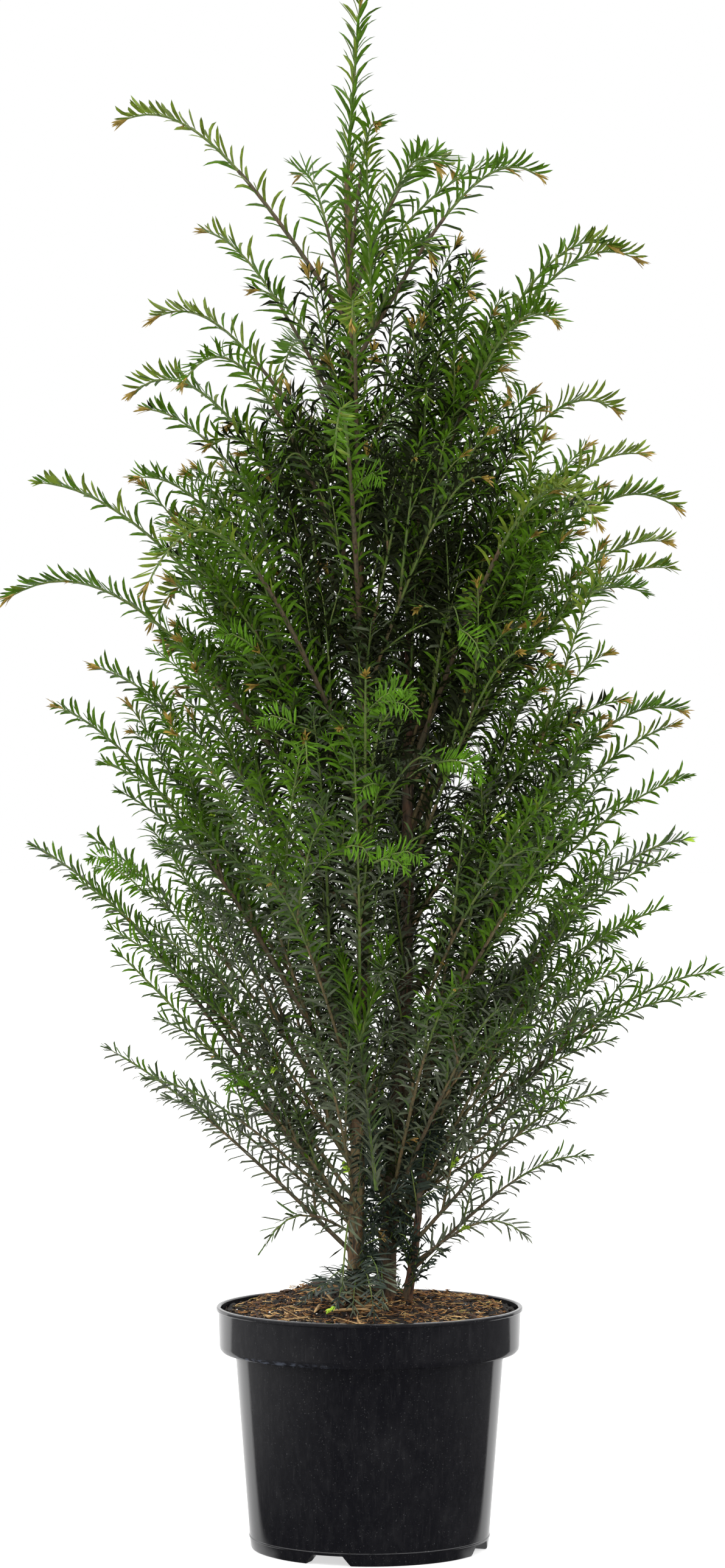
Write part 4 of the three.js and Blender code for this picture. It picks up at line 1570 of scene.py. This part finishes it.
    def _add_buds(self, shoot: Shoot, span: float, draw: np.random.Generator) -> None:
        """Sets small bronze buds on the under side of a long shoot.

        Args:
            shoot: The shoot.
            span: The length of its needled part.
            draw: Its own random numbers.
        """
        count = int(span * shoot.buds / 42)
        for along in 0.3 + 0.65 * (np.arange(count) + draw.uniform(0, 1, count)) / max(count, 1):
            shares = np.full(4, min(shoot.bare + (1 - shoot.bare) * along, 0.97))
            around = np.radians(draw.uniform(110, 250) + draw.uniform(-30, 30, 4))
            lean = np.radians(np.stack([draw.uniform(25, 70, 4), draw.uniform(30, 90, 4)]))
            tints = self._tints(shares, Tint.BRONZE)
            self._keep(shoot, shares, around, lean, draw.uniform(4, 8.5, 4), np.full(4, 1.3), 0.2, tints, draw)

    def _keep(
        self, shoot: Shoot, share: np.ndarray, around: np.ndarray, lean: np.ndarray, size: np.ndarray,
        width: np.ndarray, twist: float, tints: np.ndarray, draw: np.random.Generator,
    ) -> None:
        """Works out the corners of needles and keeps them.

        Args:
            shoot: The shoot that they stand on.
            share: Their roots, as shares of the shoot's line.
            around: Their angles round the shoot from up, in radians.
            lean: Their angles to the shoot at root and tip, in radians, as two rows.
            size: Their lengths.
            width: Their widths.
            twist: How far they turn their faces up.
            tints: The numbers of their tints.
            draw: The shoot's own random numbers.
        """
        on, tangent = shoot.line.points(share), shoot.line.tangents(share)
        hang = np.interp(on[:, 2], (350, 950), self.HANG)[:, None]
        side, rise = shoot.line.square(tangent)
        angle = around + shoot.roll
        out = rise * np.cos(angle)[:, None] + side * np.sin(angle)[:, None]
        turned = np.clip(1.25 + np.cos(around), 0, 1) * twist
        turned = np.radians(90) * np.clip(turned + draw.normal(0, 0.16, len(share)), 0, 1.2)
        across = np.cross(tangent, out)
        places, widths, faces = [on], [], []
        for i in range(1, len(self.STATIONS)):
            middle = (self.STATIONS[i] + self.STATIONS[i - 1]) / 2
            bent = lean[0] + (lean[1] - lean[0]) * middle
            way = unit(tangent * np.cos(bent)[:, None] + out * np.sin(bent)[:, None] - UP * (hang * middle**2))
            places.append(places[-1] + way * (size * (self.STATIONS[i] - self.STATIONS[i - 1]))[:, None])
            inward = unit(np.cross(across, way))
            flat = across * np.cos(turned)[:, None] + inward * np.sin(turned)[:, None]
            widths.append(flat)
            faces.append(np.cross(way, flat))
        facing = np.sign((faces[1] * (rise + tangent * 0.6)).sum(1))[:, None]
        facing[facing == 0] = 1
        blade = [places[0]]
        for i in range(3):
            half = widths[i] * facing * (width * self.WIDTHS[i] / 2)[:, None]
            ridge = faces[i] * facing * (width * self.RIDGE)[:, None]
            blade += [places[i + 1] + half, places[i + 1] + ridge, places[i + 1] - half]
        blade.append(places[4])
        whole = np.stack(blade, axis=1)
        for number in np.unique(tints):
            tint = list(Tint)[number]
            self.blades[tint].append(whole[tints == number])
            self.masses[tint].append((int((tints == number).sum()), shoot.mass))

    @staticmethod
    def faces(count: int, rings: int) -> list[np.ndarray]:
        """The triangles and the quads of needles.

        Args:
            count: How many needles there are.
            rings: How many rings of three corners each has between its root and its tip.

        Returns:
            Arrays of corner numbers, the triangles first.
        """
        last = 1 + 3 * rings
        ends, walls = [], []
        for i in range(3):
            j = (i + 1) % 3
            ends += [(0, 1 + j, 1 + i), (last - 3 + i, last - 3 + j, last)]
            walls += [(a + i, a + j, a + 3 + j, a + 3 + i) for a in range(1, last - 3, 3)]
        offset = np.arange(count)[:, None, None] * (last + 1)
        return [(np.array(part)[None] + offset).reshape(-1, len(part[0])) for part in (ends, walls) if part]

    @staticmethod
    def crease(mesh: bpy.types.Mesh, corners: int) -> None:
        """Keeps the edges and the ridge along each needle sharp.

        Args:
            mesh: A mesh of needles.
            corners: How many corners each of them has.
        """
        ends = np.empty(len(mesh.edges) * 2, np.int32)
        mesh.edges.foreach_get("vertices", ends)
        low, high = np.sort(ends.reshape(-1, 2) % corners, axis=1).T
        sharp = mesh.attributes.new("sharp_edge", "BOOLEAN", "EDGE")
        sharp.data.foreach_set("value", (low == 0) | (high == corners - 1) | (high - low == 3))

    def build(self) -> None:
        """Joins the needles of each tint into pieces and dresses them."""
        for tint, parts in self.blades.items():
            if not parts:
                continue
            finish = NEEDLE_FINISHES[tint].material()
            rings = self.RINGS.get(tint, 3)
            blades = np.concatenate(parts)[:, list(self.KEPT[rings])]
            corners = blades.shape[1]
            owners = np.repeat([mass for _, mass in self.masses[tint]], [n for n, _ in self.masses[tint]])
            pieces = math.ceil(len(blades) * 6 * rings / self.LIMIT)
            for number, chosen in enumerate(np.array_split(np.arange(len(blades)), pieces)):
                name = f"needles_{tint.value}" + (f"_{number + 1}" if pieces > 1 else "")
                mesh = joined_mesh(name, blades[chosen].reshape(-1, 3), self.faces(len(chosen), rings))
                self.crease(mesh, corners)
                nodes = {f"mass_{mass}" for mass in owners[chosen]}
                dress(object_of(mesh), nodes, finish)


# ---- Twigs ----


class Twigs:
    """The thin wood of every shoot: tapering tubes, joined by colour."""

    SIDES = 5

    def __init__(self) -> None:
        """Starts empty."""
        self.corners: dict[str, list[np.ndarray]] = {"green": [], "brown": []}
        self.rings: dict[str, list[int]] = {"green": [], "brown": []}
        self.masses: dict[str, set[str]] = {"green": set(), "brown": set()}

    def add_shoot(self, shoot: Shoot) -> None:
        """Adds a shoot's wood, brown at its older end and green on from there.

        Args:
            shoot: The shoot.
        """
        if shoot.brown_to > 0:
            self._tube(shoot, "brown", 0.0, shoot.brown_to + 0.01)
        self._tube(shoot, "green", shoot.brown_to, 1.0)

    def _tube(self, shoot: Shoot, colour: str, first: float, last: float) -> None:
        """Adds a tube, pointed if it ends at the shoot's tip.

        Args:
            shoot: The shoot.
            colour: The colour of its wood.
            first: Where the tube starts, as a share of the shoot's line.
            last: Where it ends.
        """
        length = shoot.line.length * (last - first)
        count = int(min(max(length / 16, 3), 16)) + 1
        share = np.linspace(first, last, count)
        radius = shoot.radius[1] + (shoot.radius[0] - shoot.radius[1]) * (1 - share) ** 1.3
        if last == 1.0:
            radius[-1] *= 0.25
        angle = np.arange(self.SIDES) * (2 * math.pi / self.SIDES)
        ring = section(*shoot.line.square(shoot.line.tangents(share)), angle)
        places = shoot.line.points(share)[:, None] + ring * radius[:, None, None]
        self.corners[colour].append(places.reshape(-1, 3))
        self.rings[colour].append(count)
        self.masses[colour].add(f"mass_{shoot.mass}")

    def build(self) -> None:
        """Joins the wood of each colour into one piece and dresses it."""
        finishes = {
            "green": BarkFinish("twig_green", (0.075, 0.125, 0.02), (0.045, 0.085, 0.014), (0.11, 0.13, 0.028), 2.0),
            "brown": BarkFinish("twig_brown", (0.09, 0.075, 0.03), (0.045, 0.038, 0.018), (0.13, 0.085, 0.035), 1.6),
        }
        for colour, parts in self.corners.items():
            mesh = joined_mesh(f"twigs_{colour}", np.concatenate(parts), tube_faces(self.SIDES, self.rings[colour]))
            dress(object_of(mesh), self.masses[colour], finishes[colour].material())


# ---- Stems and boughs ----


@dataclass
class Wood:
    """Stems and boughs with the relief of their bark: its depth, the distance of their rings and their sides."""

    relief: float = 0.9
    ring_every: float = 2.6
    stem_sides: int = 26
    bough_relief: float = 0.3
    bough_ring_every: float = 5.0
    bough_sides: int = 9
    bough_share: float = 0.5  # of a mass's line, from where on its wood is a twig

    def _limb(
        self, name: str, points: Callable[[np.ndarray], np.ndarray], wood: Callable[[np.ndarray], np.ndarray],
        length: float, sides: int, every: float, relief: float,
    ) -> bmesh.types.BMesh:
        """A limb: a sheet of bark wrapped round its middle line and closed at both ends.

        Args:
            name: Seeds the relief.
            points: Places of the middle line by shares.
            wood: Radii by shares.
            length: The limb's length.
            sides: Corners of its section.
            every: Distance between its rings.
            relief: Depth of the bark's cracks.

        Returns:
            The limb, in metres.
        """
        rings = max(4, int(length / every))
        form = bmesh.new()
        bmesh.ops.create_grid(form, x_segments=sides, y_segments=rings, size=0.5)
        share = np.linspace(0, 1, rings + 1)
        middle, radius = points(share), wood(share)
        tangent = unit(np.gradient(middle, axis=0))
        side = unit(np.cross(tangent, np.array([0.31, 0.95, 0.02])))
        rise = np.cross(side, tangent)
        shift = Vector((len(name) * 3.7, sum(map(ord, name)) * 0.13, 0.0))
        for vert in form.verts:
            k = int(round((vert.co.y + 0.5) * rings))
            turn = (vert.co.x + 0.5) * 2 * math.pi
            away = side[k] * math.cos(turn) + rise[k] * math.sin(turn)
            skin = Vector((math.cos(turn) * radius[k], math.sin(turn) * radius[k], share[k] * length * 0.14)) * 0.55
            plates = noise.turbulence(skin + shift, 4, False)
            lump = noise.noise(skin * 0.22 + shift)
            depth = relief * (0.55 - plates) + relief * 0.8 * lump
            vert.co = Vector((middle[k] + away * (radius[k] + depth)) * MM)
        bmesh.ops.remove_doubles(form, verts=form.verts, dist=1e-7)
        bmesh.ops.holes_fill(form, edges=[edge for edge in form.edges if edge.is_boundary], sides=0)
        return form

    def build(self, crown: Crown) -> None:
        """Builds and dresses the stems, then the boughs.

        Args:
            crown: The crown that grows on them.
        """
        bark = BarkFinish("bark", (0.12, 0.086, 0.036), (0.015, 0.011, 0.006), (0.085, 0.046, 0.02)).material()
        # The second and the low stem get a darker copy of the bark: painted shade of the crown over them.
        dark = BarkFinish("bark_painted_shade", (0.062, 0.043, 0.024), (0.012, 0.008, 0.006), (0.085, 0.036, 0.018)).material()
        for name, stem in STEMS.items():
            length = stem.top - stem.foot
            form = self._limb(name, stem.points, stem.wood, length, self.stem_sides, self.ring_every, self.relief)
            piece = object_from_bmesh(f"bark_stem_{name}", form)
            dress(piece, [f"stem_{name}"], bark if name == "main" else dark)
        young = BarkFinish("bark_young", (0.06, 0.05, 0.024), (0.028, 0.022, 0.013), (0.08, 0.05, 0.024), 1.4)
        whole, nodes = bmesh.new(), []
        for name, line in crown.lines.items():
            if name == "leader":
                continue
            form = self._limb(
                name, lambda share, line=line: line.points(share * self.bough_share),
                lambda share, line=line: np.array([crown.wood(line, each * self.bough_share) for each in share]),
                line.length * self.bough_share, self.bough_sides, self.bough_ring_every, self.bough_relief,
            )
            part = bpy.data.meshes.new("limb")
            form.to_mesh(part)
            form.free()
            whole.from_mesh(part)
            bpy.data.meshes.remove(part)
            nodes.append(f"bough_{name}" if CROWN[name].bare_to > 0 else f"mass_{name}")
        dress(object_from_bmesh("boughs", whole), nodes, young.material())


# ---- Pot ----


@dataclass
class Pot:
    """The nursery pot: a deep rounded band under the rim, a tapering wall and a notched foot ring."""

    height: float = 220.0
    rim_radius: float = 140.0
    lip_height: float = 3.5
    band_radius: float = 138.0
    band_foot: float = 179.0
    wall_top_radius: float = 122.5
    base_radius: float = 108.5
    wall: float = 2.2
    floor: float = 3.0
    ring_width: float = 16.0
    recess: float = 9.0
    hub_radius: float = 45.0
    line_height: float = 11.0
    steps: int = 160
    notch_count: int = 4
    notch_first: float = 249.5
    notch_widths: Pair = (29.0, 43.0)

    def _profile(self) -> list[Pair]:
        """The outline, from the middle of the underside over the rim to the middle of the floor.

        Returns:
            Radii and heights.
        """
        inner = self.base_radius - self.ring_width
        band_inner = self.band_radius - self.wall
        slope = (self.wall_top_radius - self.base_radius) / self.band_foot
        at_line = self.base_radius + slope * self.line_height
        return [
            (0.0, 0.0), (self.hub_radius, 0.0), (self.hub_radius + 2, self.recess), (inner - 2, self.recess),
            (inner, 0.0), (self.base_radius - 2.2, 0.0), (self.base_radius - 0.7, 0.6), (self.base_radius, 2.0),
            (at_line, self.line_height - 0.9), (at_line + 0.7, self.line_height - 0.2),
            (at_line + 0.7, self.line_height + 0.5), (at_line + 0.1, self.line_height + 1.1),
            (self.wall_top_radius - 0.6, self.band_foot - 8), (self.wall_top_radius + 1.2, self.band_foot - 1.5),
            (self.band_radius - 7, self.band_foot - 0.6), (self.band_radius - 3.4, self.band_foot + 0.4),
            (self.band_radius - 1.5, self.band_foot + 2.6), (self.band_radius - 0.9, self.band_foot + 6),
            (self.band_radius, self.height - self.lip_height - 1.2),
            (self.band_radius + 0.5, self.height - self.lip_height),
            (self.rim_radius - 0.5, self.height - self.lip_height), (self.rim_radius, self.height - 2.9),
            (self.rim_radius, self.height - 0.9), (self.rim_radius - 0.9, self.height),
            (band_inner + 0.9, self.height), (band_inner, self.height - 0.9), (band_inner - 1, self.band_foot + 2.2),
            (self.wall_top_radius - self.wall, self.band_foot + self.wall),
            (self.base_radius - self.wall, self.recess + self.floor), (0.0, self.recess + self.floor),
        ]

    def _notches(self) -> bpy.types.Object:
        """The wedges that cut the drain notches.

        Returns:
            All of them, as one object.
        """
        form = bmesh.new()
        for i in range(self.notch_count):
            made = bmesh.ops.create_cube(form, size=1.0)["verts"]
            for vert in made:
                width = self.notch_widths[0] if vert.co.z > 0 else self.notch_widths[1] + 2
                vert.co = Vector((
                    self.base_radius - 8 + vert.co.x * (self.ring_width + 10),
                    vert.co.y * width,
                    self.recess if vert.co.z > 0 else -1.0,
                )) * MM
            turn = math.radians(self.notch_first + i * 360 / self.notch_count)
            bmesh.ops.rotate(form, verts=made, cent=(0, 0, 0), matrix=Matrix.Rotation(turn, 3, "Z"))
        return object_from_bmesh("notch_cutter", form, smooth=False)

    def build(self) -> None:
        """Turns the pot, cuts its notches and dresses it."""
        outline = [(radius * MM, height * MM) for radius, height in self._profile()]
        pot = object_from_bmesh("pot_shell", turned(outline, self.steps, 1e-6))
        cutter = self._notches()
        cut = pot.modifiers.new("notches", "BOOLEAN")
        cut.operation, cut.object, cut.solver = "DIFFERENCE", cutter, "EXACT"
        bpy.context.view_layer.update()
        depsgraph = bpy.context.evaluated_depsgraph_get()
        pot.data = bpy.data.meshes.new_from_object(pot.evaluated_get(depsgraph))
        pot.data.name = "pot_shell"
        pot.modifiers.clear()
        bpy.data.objects.remove(cutter)
        pot.data.set_sharp_from_angle(angle=math.radians(32))
        plastic = PlasticFinish("pot_plastic", (0.0036, 0.0036, 0.0048), (0.05, 0.05, 0.052), (0.13, 0.15, 0.2))
        dress(pot, ["pot"], plastic.material())


# ---- Compost ----


@dataclass
class Compost:
    """The compost with what lies in and on it. `heaps` gives each heap's x, y, rise and spread."""

    edge_height: float = 211.5
    radius: float = 134.3
    steps: int = 150
    rings: int = 62
    fibre_rings: int = 7
    heaps: tuple[tuple[float, float, float, float], ...] = (
        (-25, 15, 18, 60), (-42, 45, 9, 28), (70, 70, 6, 40), (95, 10, 5, 34), (0, -125, -5, 34),
    )
    nodes: tuple[str, ...] = ("soil",)

    def height(self, x: float, y: float) -> float:
        """Height of the surface, with its heaps and its lumps.

        Args:
            x: The place's distance to the right of the pot's axis.
            y: Its distance behind that.

        Returns:
            The height.
        """
        level = self.edge_height
        for at_x, at_y, rise, spread in self.heaps:
            level += rise * math.exp(-(((x - at_x) ** 2 + (y - at_y) ** 2) / spread**2) / 2)
        place = Vector((x, y, 3.0))
        lumps = noise.fractal(place * 0.075, 1.0, 2.0, 4) * 3.0
        return level + lumps + abs(noise.noise(place * 0.31)) * 3.0 - 1.2

    def _surface(self) -> None:
        """The bed of compost: a turned solid with a rough top."""
        edge = self.radius
        outline = [(0.0, 12.4), (105.8, 12.4), (119.6, 178.5), (120.0, 181.6), (edge, 182.0), (edge, 203.0)]
        outline += [(edge * (1 - k / self.rings), self.edge_height) for k in range(self.rings + 1)]
        form = turned(outline, self.steps, 1e-3)
        for vert in form.verts:
            if vert.co.z > self.edge_height - 1:
                vert.co.z = self.height(vert.co.x, vert.co.y)
        bmesh.ops.scale(form, verts=form.verts, vec=(MM, MM, MM))
        compost = CompostFinish("compost", (0.0035, 0.0022, 0.0015), (0.017, 0.0095, 0.005), (0.085, 0.038, 0.014))
        dress(object_from_bmesh("compost_bed", form), self.nodes, compost.material())

    def _scatter(self, count: int, draw: np.random.Generator, margin: float = 3.0) -> np.ndarray:
        """Places on the surface, spread evenly.

        Args:
            count: How many there are.
            draw: Random numbers.
            margin: How far they keep from the pot's wall.

        Returns:
            The places, one row each.
        """
        away = (self.radius - margin) * np.sqrt(draw.uniform(0, 1, count))
        turn = draw.uniform(0, 2 * math.pi, count)
        flat = np.stack([away * np.cos(turn), away * np.sin(turn)], axis=1)
        return np.array([(x, y, self.height(x, y)) for x, y in flat])

    def _crumbs(self, name: str, count: int, size: Pair, finish: GritFinish, seed: int) -> None:
        """Adds irregular crumbs of eight faces.

        Args:
            name: The piece's name.
            count: How many there are.
            size: Their smallest and largest radius.
            finish: Their finish.
            seed: The seed of their random numbers.
        """
        draw = np.random.default_rng(seed)
        where = self._scatter(count, draw)
        star = np.array([(1, 0, 0), (0, 1, 0), (-1, 0, 0), (0, -1, 0), (0, 0, 1), (0, 0, -1)], float)
        scale = draw.uniform(*size, (count, 1, 1)) * draw.uniform(0.55, 1.2, (count, 6, 1))
        corners = star[None] * scale + draw.normal(0, 0.16, (count, 6, 3)) * scale
        turn = draw.uniform(0, math.pi, count)
        spin = np.zeros((count, 3, 3))
        spin[:, 0, 0] = spin[:, 1, 1] = np.cos(turn)
        spin[:, 0, 1], spin[:, 1, 0], spin[:, 2, 2] = -np.sin(turn), np.sin(turn), 0.75
        corners = corners @ spin + where[:, None] + UP * (scale.mean((1, 2)) * 0.25)[:, None, None]
        faces = [(i, (i + 1) % 4, 4) for i in range(4)] + [((i + 1) % 4, i, 5) for i in range(4)]
        joined = (np.array(faces)[None] + np.arange(count)[:, None, None] * 6).reshape(-1, 3)
        piece = object_of(joined_mesh(name, corners.reshape(-1, 3), [joined]))
        dress(piece, self.nodes, finish.material())

    def _fibres(
        self, name: str, count: int, length: Pair, radius: Pair, finish: GritFinish,
        seed: int, lift: float = 1.2, curl: float = 0.5, near: tuple[float, float, float] | None = None,
    ) -> None:
        """Adds bent fibres, roots or chips: three-sided, tapering, lying on the surface.

        Args:
            name: The piece's name.
            count: How many there are.
            length: Their smallest and largest length.
            radius: Their smallest and largest radius.
            finish: Their finish.
            seed: The seed of their random numbers.
            lift: How high they lie.
            curl: How much they bend.
            near: A place that they lie round, its x, y and how loosely, or None for the whole surface.
        """
        draw = np.random.default_rng(seed)
        where = self._scatter(count * 3 if near else count, draw, 12.0)
        if near:
            off = np.hypot(where[:, 0] - near[0], where[:, 1] - near[1])
            where = where[np.argsort(off + draw.uniform(0, near[2], len(off)))[:count]]
        rings = self.fibre_rings
        share = np.linspace(-0.5, 0.5, rings)
        corners = []
        for x, y, z in where:
            long, thick = draw.uniform(*length), draw.uniform(*radius)
            turn, bend, tilt = draw.uniform(0, 2 * math.pi), draw.normal(0, curl), draw.normal(0, 0.2)
            way = turn + bend * share * 2
            path = np.stack([np.cos(way), np.sin(way), np.full(rings, tilt)], axis=1) * (long / rings)
            path = np.cumsum(path, axis=0) - path.sum(0) / 2
            path[:, :2] *= min(1.0, (self.radius - 4 - math.hypot(x, y)) / (long * 0.5))
            path += (x, y, z + lift * draw.uniform(0.2, 1.4))
            level = np.array([self.height(px, py) for px, py, _ in path])
            path[:, 2] = np.maximum(path[:, 2], level + thick * 0.2)
            tangent = unit(np.gradient(path, axis=0))
            side = unit(np.cross(tangent, UP))
            fat = thick * (1 - 0.75 * np.abs(share * 2) ** 2.5)
            angle = np.arange(3) * (2 * math.pi / 3) + draw.uniform(0, 2)
            ring = section(side, np.cross(side, tangent), angle)
            corners.append((path[:, None] + ring * fat[:, None, None]).reshape(-1, 3))
        piece = object_of(joined_mesh(name, np.concatenate(corners), tube_faces(3, [rings] * count)))
        dress(piece, self.nodes, finish.material())

    def build(self) -> None:
        """Builds the bed and everything that lies on it."""
        self._surface()
        self._crumbs("crumbs_dark", 2400, (0.8, 2.8), GritFinish("crumb_dark", (0.012, 0.0072, 0.0048)), 41)
        self._crumbs("crumbs_red", 500, (0.7, 2.3), GritFinish("crumb_red", (0.1, 0.043, 0.015)), 42)
        self._crumbs("perlite", 80, (0.6, 1.5), GritFinish("perlite", (0.62, 0.6, 0.55), 0.15), 43)
        self._fibres("fibres", 860, (7, 20), (0.25, 0.5), GritFinish("fibre", (0.27, 0.125, 0.038)), 44, 2.2, 1.7)
        pale = GritFinish("fibre_pale", (0.5, 0.32, 0.13))
        self._fibres("fibres_pale", 260, (8, 24), (0.22, 0.48), pale, 48, 2.8, 1.5)
        self._fibres("bark_chips", 300, (6, 15), (0.9, 2.3), GritFinish("chip", (0.05, 0.024, 0.012)), 45, 1.0)
        tan = GritFinish("root", (0.33, 0.21, 0.095), 0.3)
        self._fibres("roots", 32, (20, 64), (0.7, 1.9), tan, 46, 2.2, 0.9, (-46, -76, 44))
        dry = GritFinish("fallen", (0.3, 0.23, 0.07), 0.3, 0.6)
        self._fibres("fallen_needles", 42, (14, 22), (0.5, 0.8), dry, 47, 1.6)


# ---- Studio ----


@dataclass
class Studio:
    """The floor, the lights and the camera, in metres. `lamps` gives each lamp's place, aim, size and power."""

    camera: Place = (-0.0064, -4.0, 0.697)
    lens: float = 100.4
    floor_size: float = 60.0
    lamps: tuple[tuple[str, Place, Place, Pair, float], ...] = (
        ("key", (-1.2, -2.6, 3.2), (0, 0, 0.8), (1.6, 1.6), 66.0),
        ("fill", (0.5, -3.0, 0.5), (0, 0, 0.5), (2.0, 1.4), 38.0),
        ("side_left", (-2.1, 0.5, 1.0), (0, 0, 0.6), (0.5, 2.2), 34.0),
        ("side_right", (2.1, 0.5, 1.0), (0, 0, 0.6), (0.5, 2.2), 34.0),
    )

    def _floor(self) -> None:
        """A plain pale floor. What the pot mirrors of it is dark in front and bright behind and far to the sides."""
        form = bmesh.new()
        bmesh.ops.create_grid(form, x_segments=1, y_segments=1, size=self.floor_size / 2)
        floor = object_from_bmesh("studio_floor", form, smooth=False)
        material, recipe = new_material("floor_paint")
        paint = recipe.node("ShaderNodeBsdfPrincipled", inputs={
            "Base Color": (0.4, 0.4, 0.4, 1.0), "Roughness": 0.9,
            "Emission Color": (1.0, 1.0, 1.0, 1.0), "Emission Strength": 0.62,
        })
        across, back = (recipe.axis(recipe.place(), letter) for letter in "XY")
        slant = recipe.step(across, -0.01, 0.01) * 0.16 + 0.96
        behind = recipe.step(back + 0.05 - (abs(across) - 0.115) * slant, -0.02, 0.02)
        behind = behind * recipe.step(back, -0.075, -0.06)
        aside = recipe.step(0.0 - across, 0.1, 0.6) * 0.3 + recipe.step(across, 0.1, 0.6) * 0.12
        mirrored = recipe.node("ShaderNodeEmission", inputs={"Strength": behind * 0.9 + aside + 0.05})
        glossy = recipe.node("ShaderNodeLightPath", output="Is Glossy Ray")
        mixed = recipe.node("ShaderNodeMixShader", inputs={0: glossy, 1: paint, 2: mirrored})
        recipe.node("ShaderNodeOutputMaterial", inputs={"Surface": mixed})
        floor.data.materials.append(material)

    def _sky(self) -> None:
        """White to the eye, and a dome of light that is brightest overhead."""
        world = bpy.data.worlds.new("studio_dome")
        world.use_nodes = True
        bpy.context.scene.world = world
        recipe = Recipe(world.node_tree)
        where = recipe.node("ShaderNodeTexCoord", output="Generated")
        height, behind = recipe.axis(where, "Z"), recipe.axis(where, "Y")
        power = recipe.step(height, 0.1, 0.85) * 2.0 + 0.42
        gloss = recipe.step(height, 0.25, 0.9) * 1.6 + recipe.step(behind, 0.6, 0.64) * 1.0 + 0.1
        dome = recipe.node("ShaderNodeBackground", inputs={"Color": (1.0, 0.995, 0.98, 1.0), "Strength": power})
        shine = recipe.node("ShaderNodeBackground", inputs={"Color": (1.0, 1.0, 1.0, 1.0), "Strength": gloss})
        white = recipe.node("ShaderNodeBackground", inputs={"Color": (1.0, 1.0, 1.0, 1.0), "Strength": 1.0})
        glossy = recipe.node("ShaderNodeLightPath", output="Is Glossy Ray")
        seen = recipe.node("ShaderNodeLightPath", output="Is Camera Ray")
        lit = recipe.node("ShaderNodeMixShader", inputs={0: glossy, 1: dome, 2: shine})
        mixed = recipe.node("ShaderNodeMixShader", inputs={0: seen, 1: lit, 2: white})
        recipe.node("ShaderNodeOutputWorld", inputs={"Surface": mixed})

    @staticmethod
    def _softbox(name: str, place: Place, aim: Place, size: Pair, power: float) -> None:
        """Sets up a rectangular lamp. Only the key light is mirrored.

        Args:
            name: The lamp's name.
            place: Where it hangs.
            aim: The point that it faces.
            size: Its width and height.
            power: Its power in watts.
        """
        lamp = bpy.data.lights.new(name, "AREA")
        lamp.shape, lamp.size, lamp.size_y, lamp.energy = "RECTANGLE", size[0], size[1], power
        made = bpy.data.objects.new(name, lamp)
        made.location = place
        made.visible_glossy = name == "key"
        made.rotation_euler = (Vector(aim) - Vector(place)).to_track_quat("-Z", "Y").to_euler()
        bpy.context.scene.collection.objects.link(made)

    def build(self) -> None:
        """Sets up the floor, the light and the camera."""
        self._floor()
        self._sky()
        for lamp in self.lamps:
            self._softbox(*lamp)
        lens = bpy.data.cameras.new("camera")
        lens.lens = self.lens
        lens.sensor_width = 36.0
        lens.sensor_fit = "AUTO"
        camera = bpy.data.objects.new("camera", lens)
        camera.location = self.camera
        camera.rotation_euler = (math.radians(90), 0, 0)
        bpy.context.scene.collection.objects.link(camera)
        bpy.context.scene.camera = camera
        bpy.context.scene.view_settings.view_transform = "Standard"


def main() -> None:
    """Builds the studio, the pot, the compost, the wood and the foliage."""
    logging.basicConfig(level=logging.INFO, format="%(message)s")
    Studio().build()
    Pot().build()
    Compost().build()
    crown = Crown()
    Wood().build(crown)
    twigs, needles = Twigs(), NeedleBed()
    for number, shoot in enumerate(crown.shoots):
        twigs.add_shoot(shoot)
        needles.add_shoot(shoot, number)
    metres = sum(shoot.line.length for shoot in crown.shoots) * MM
    log.info("%d shoots, %.0f m of them, %d needles", len(crown.shoots), metres, needles.count())
    twigs.build()
    needles.build()


if __name__ == "__main__":
    main()
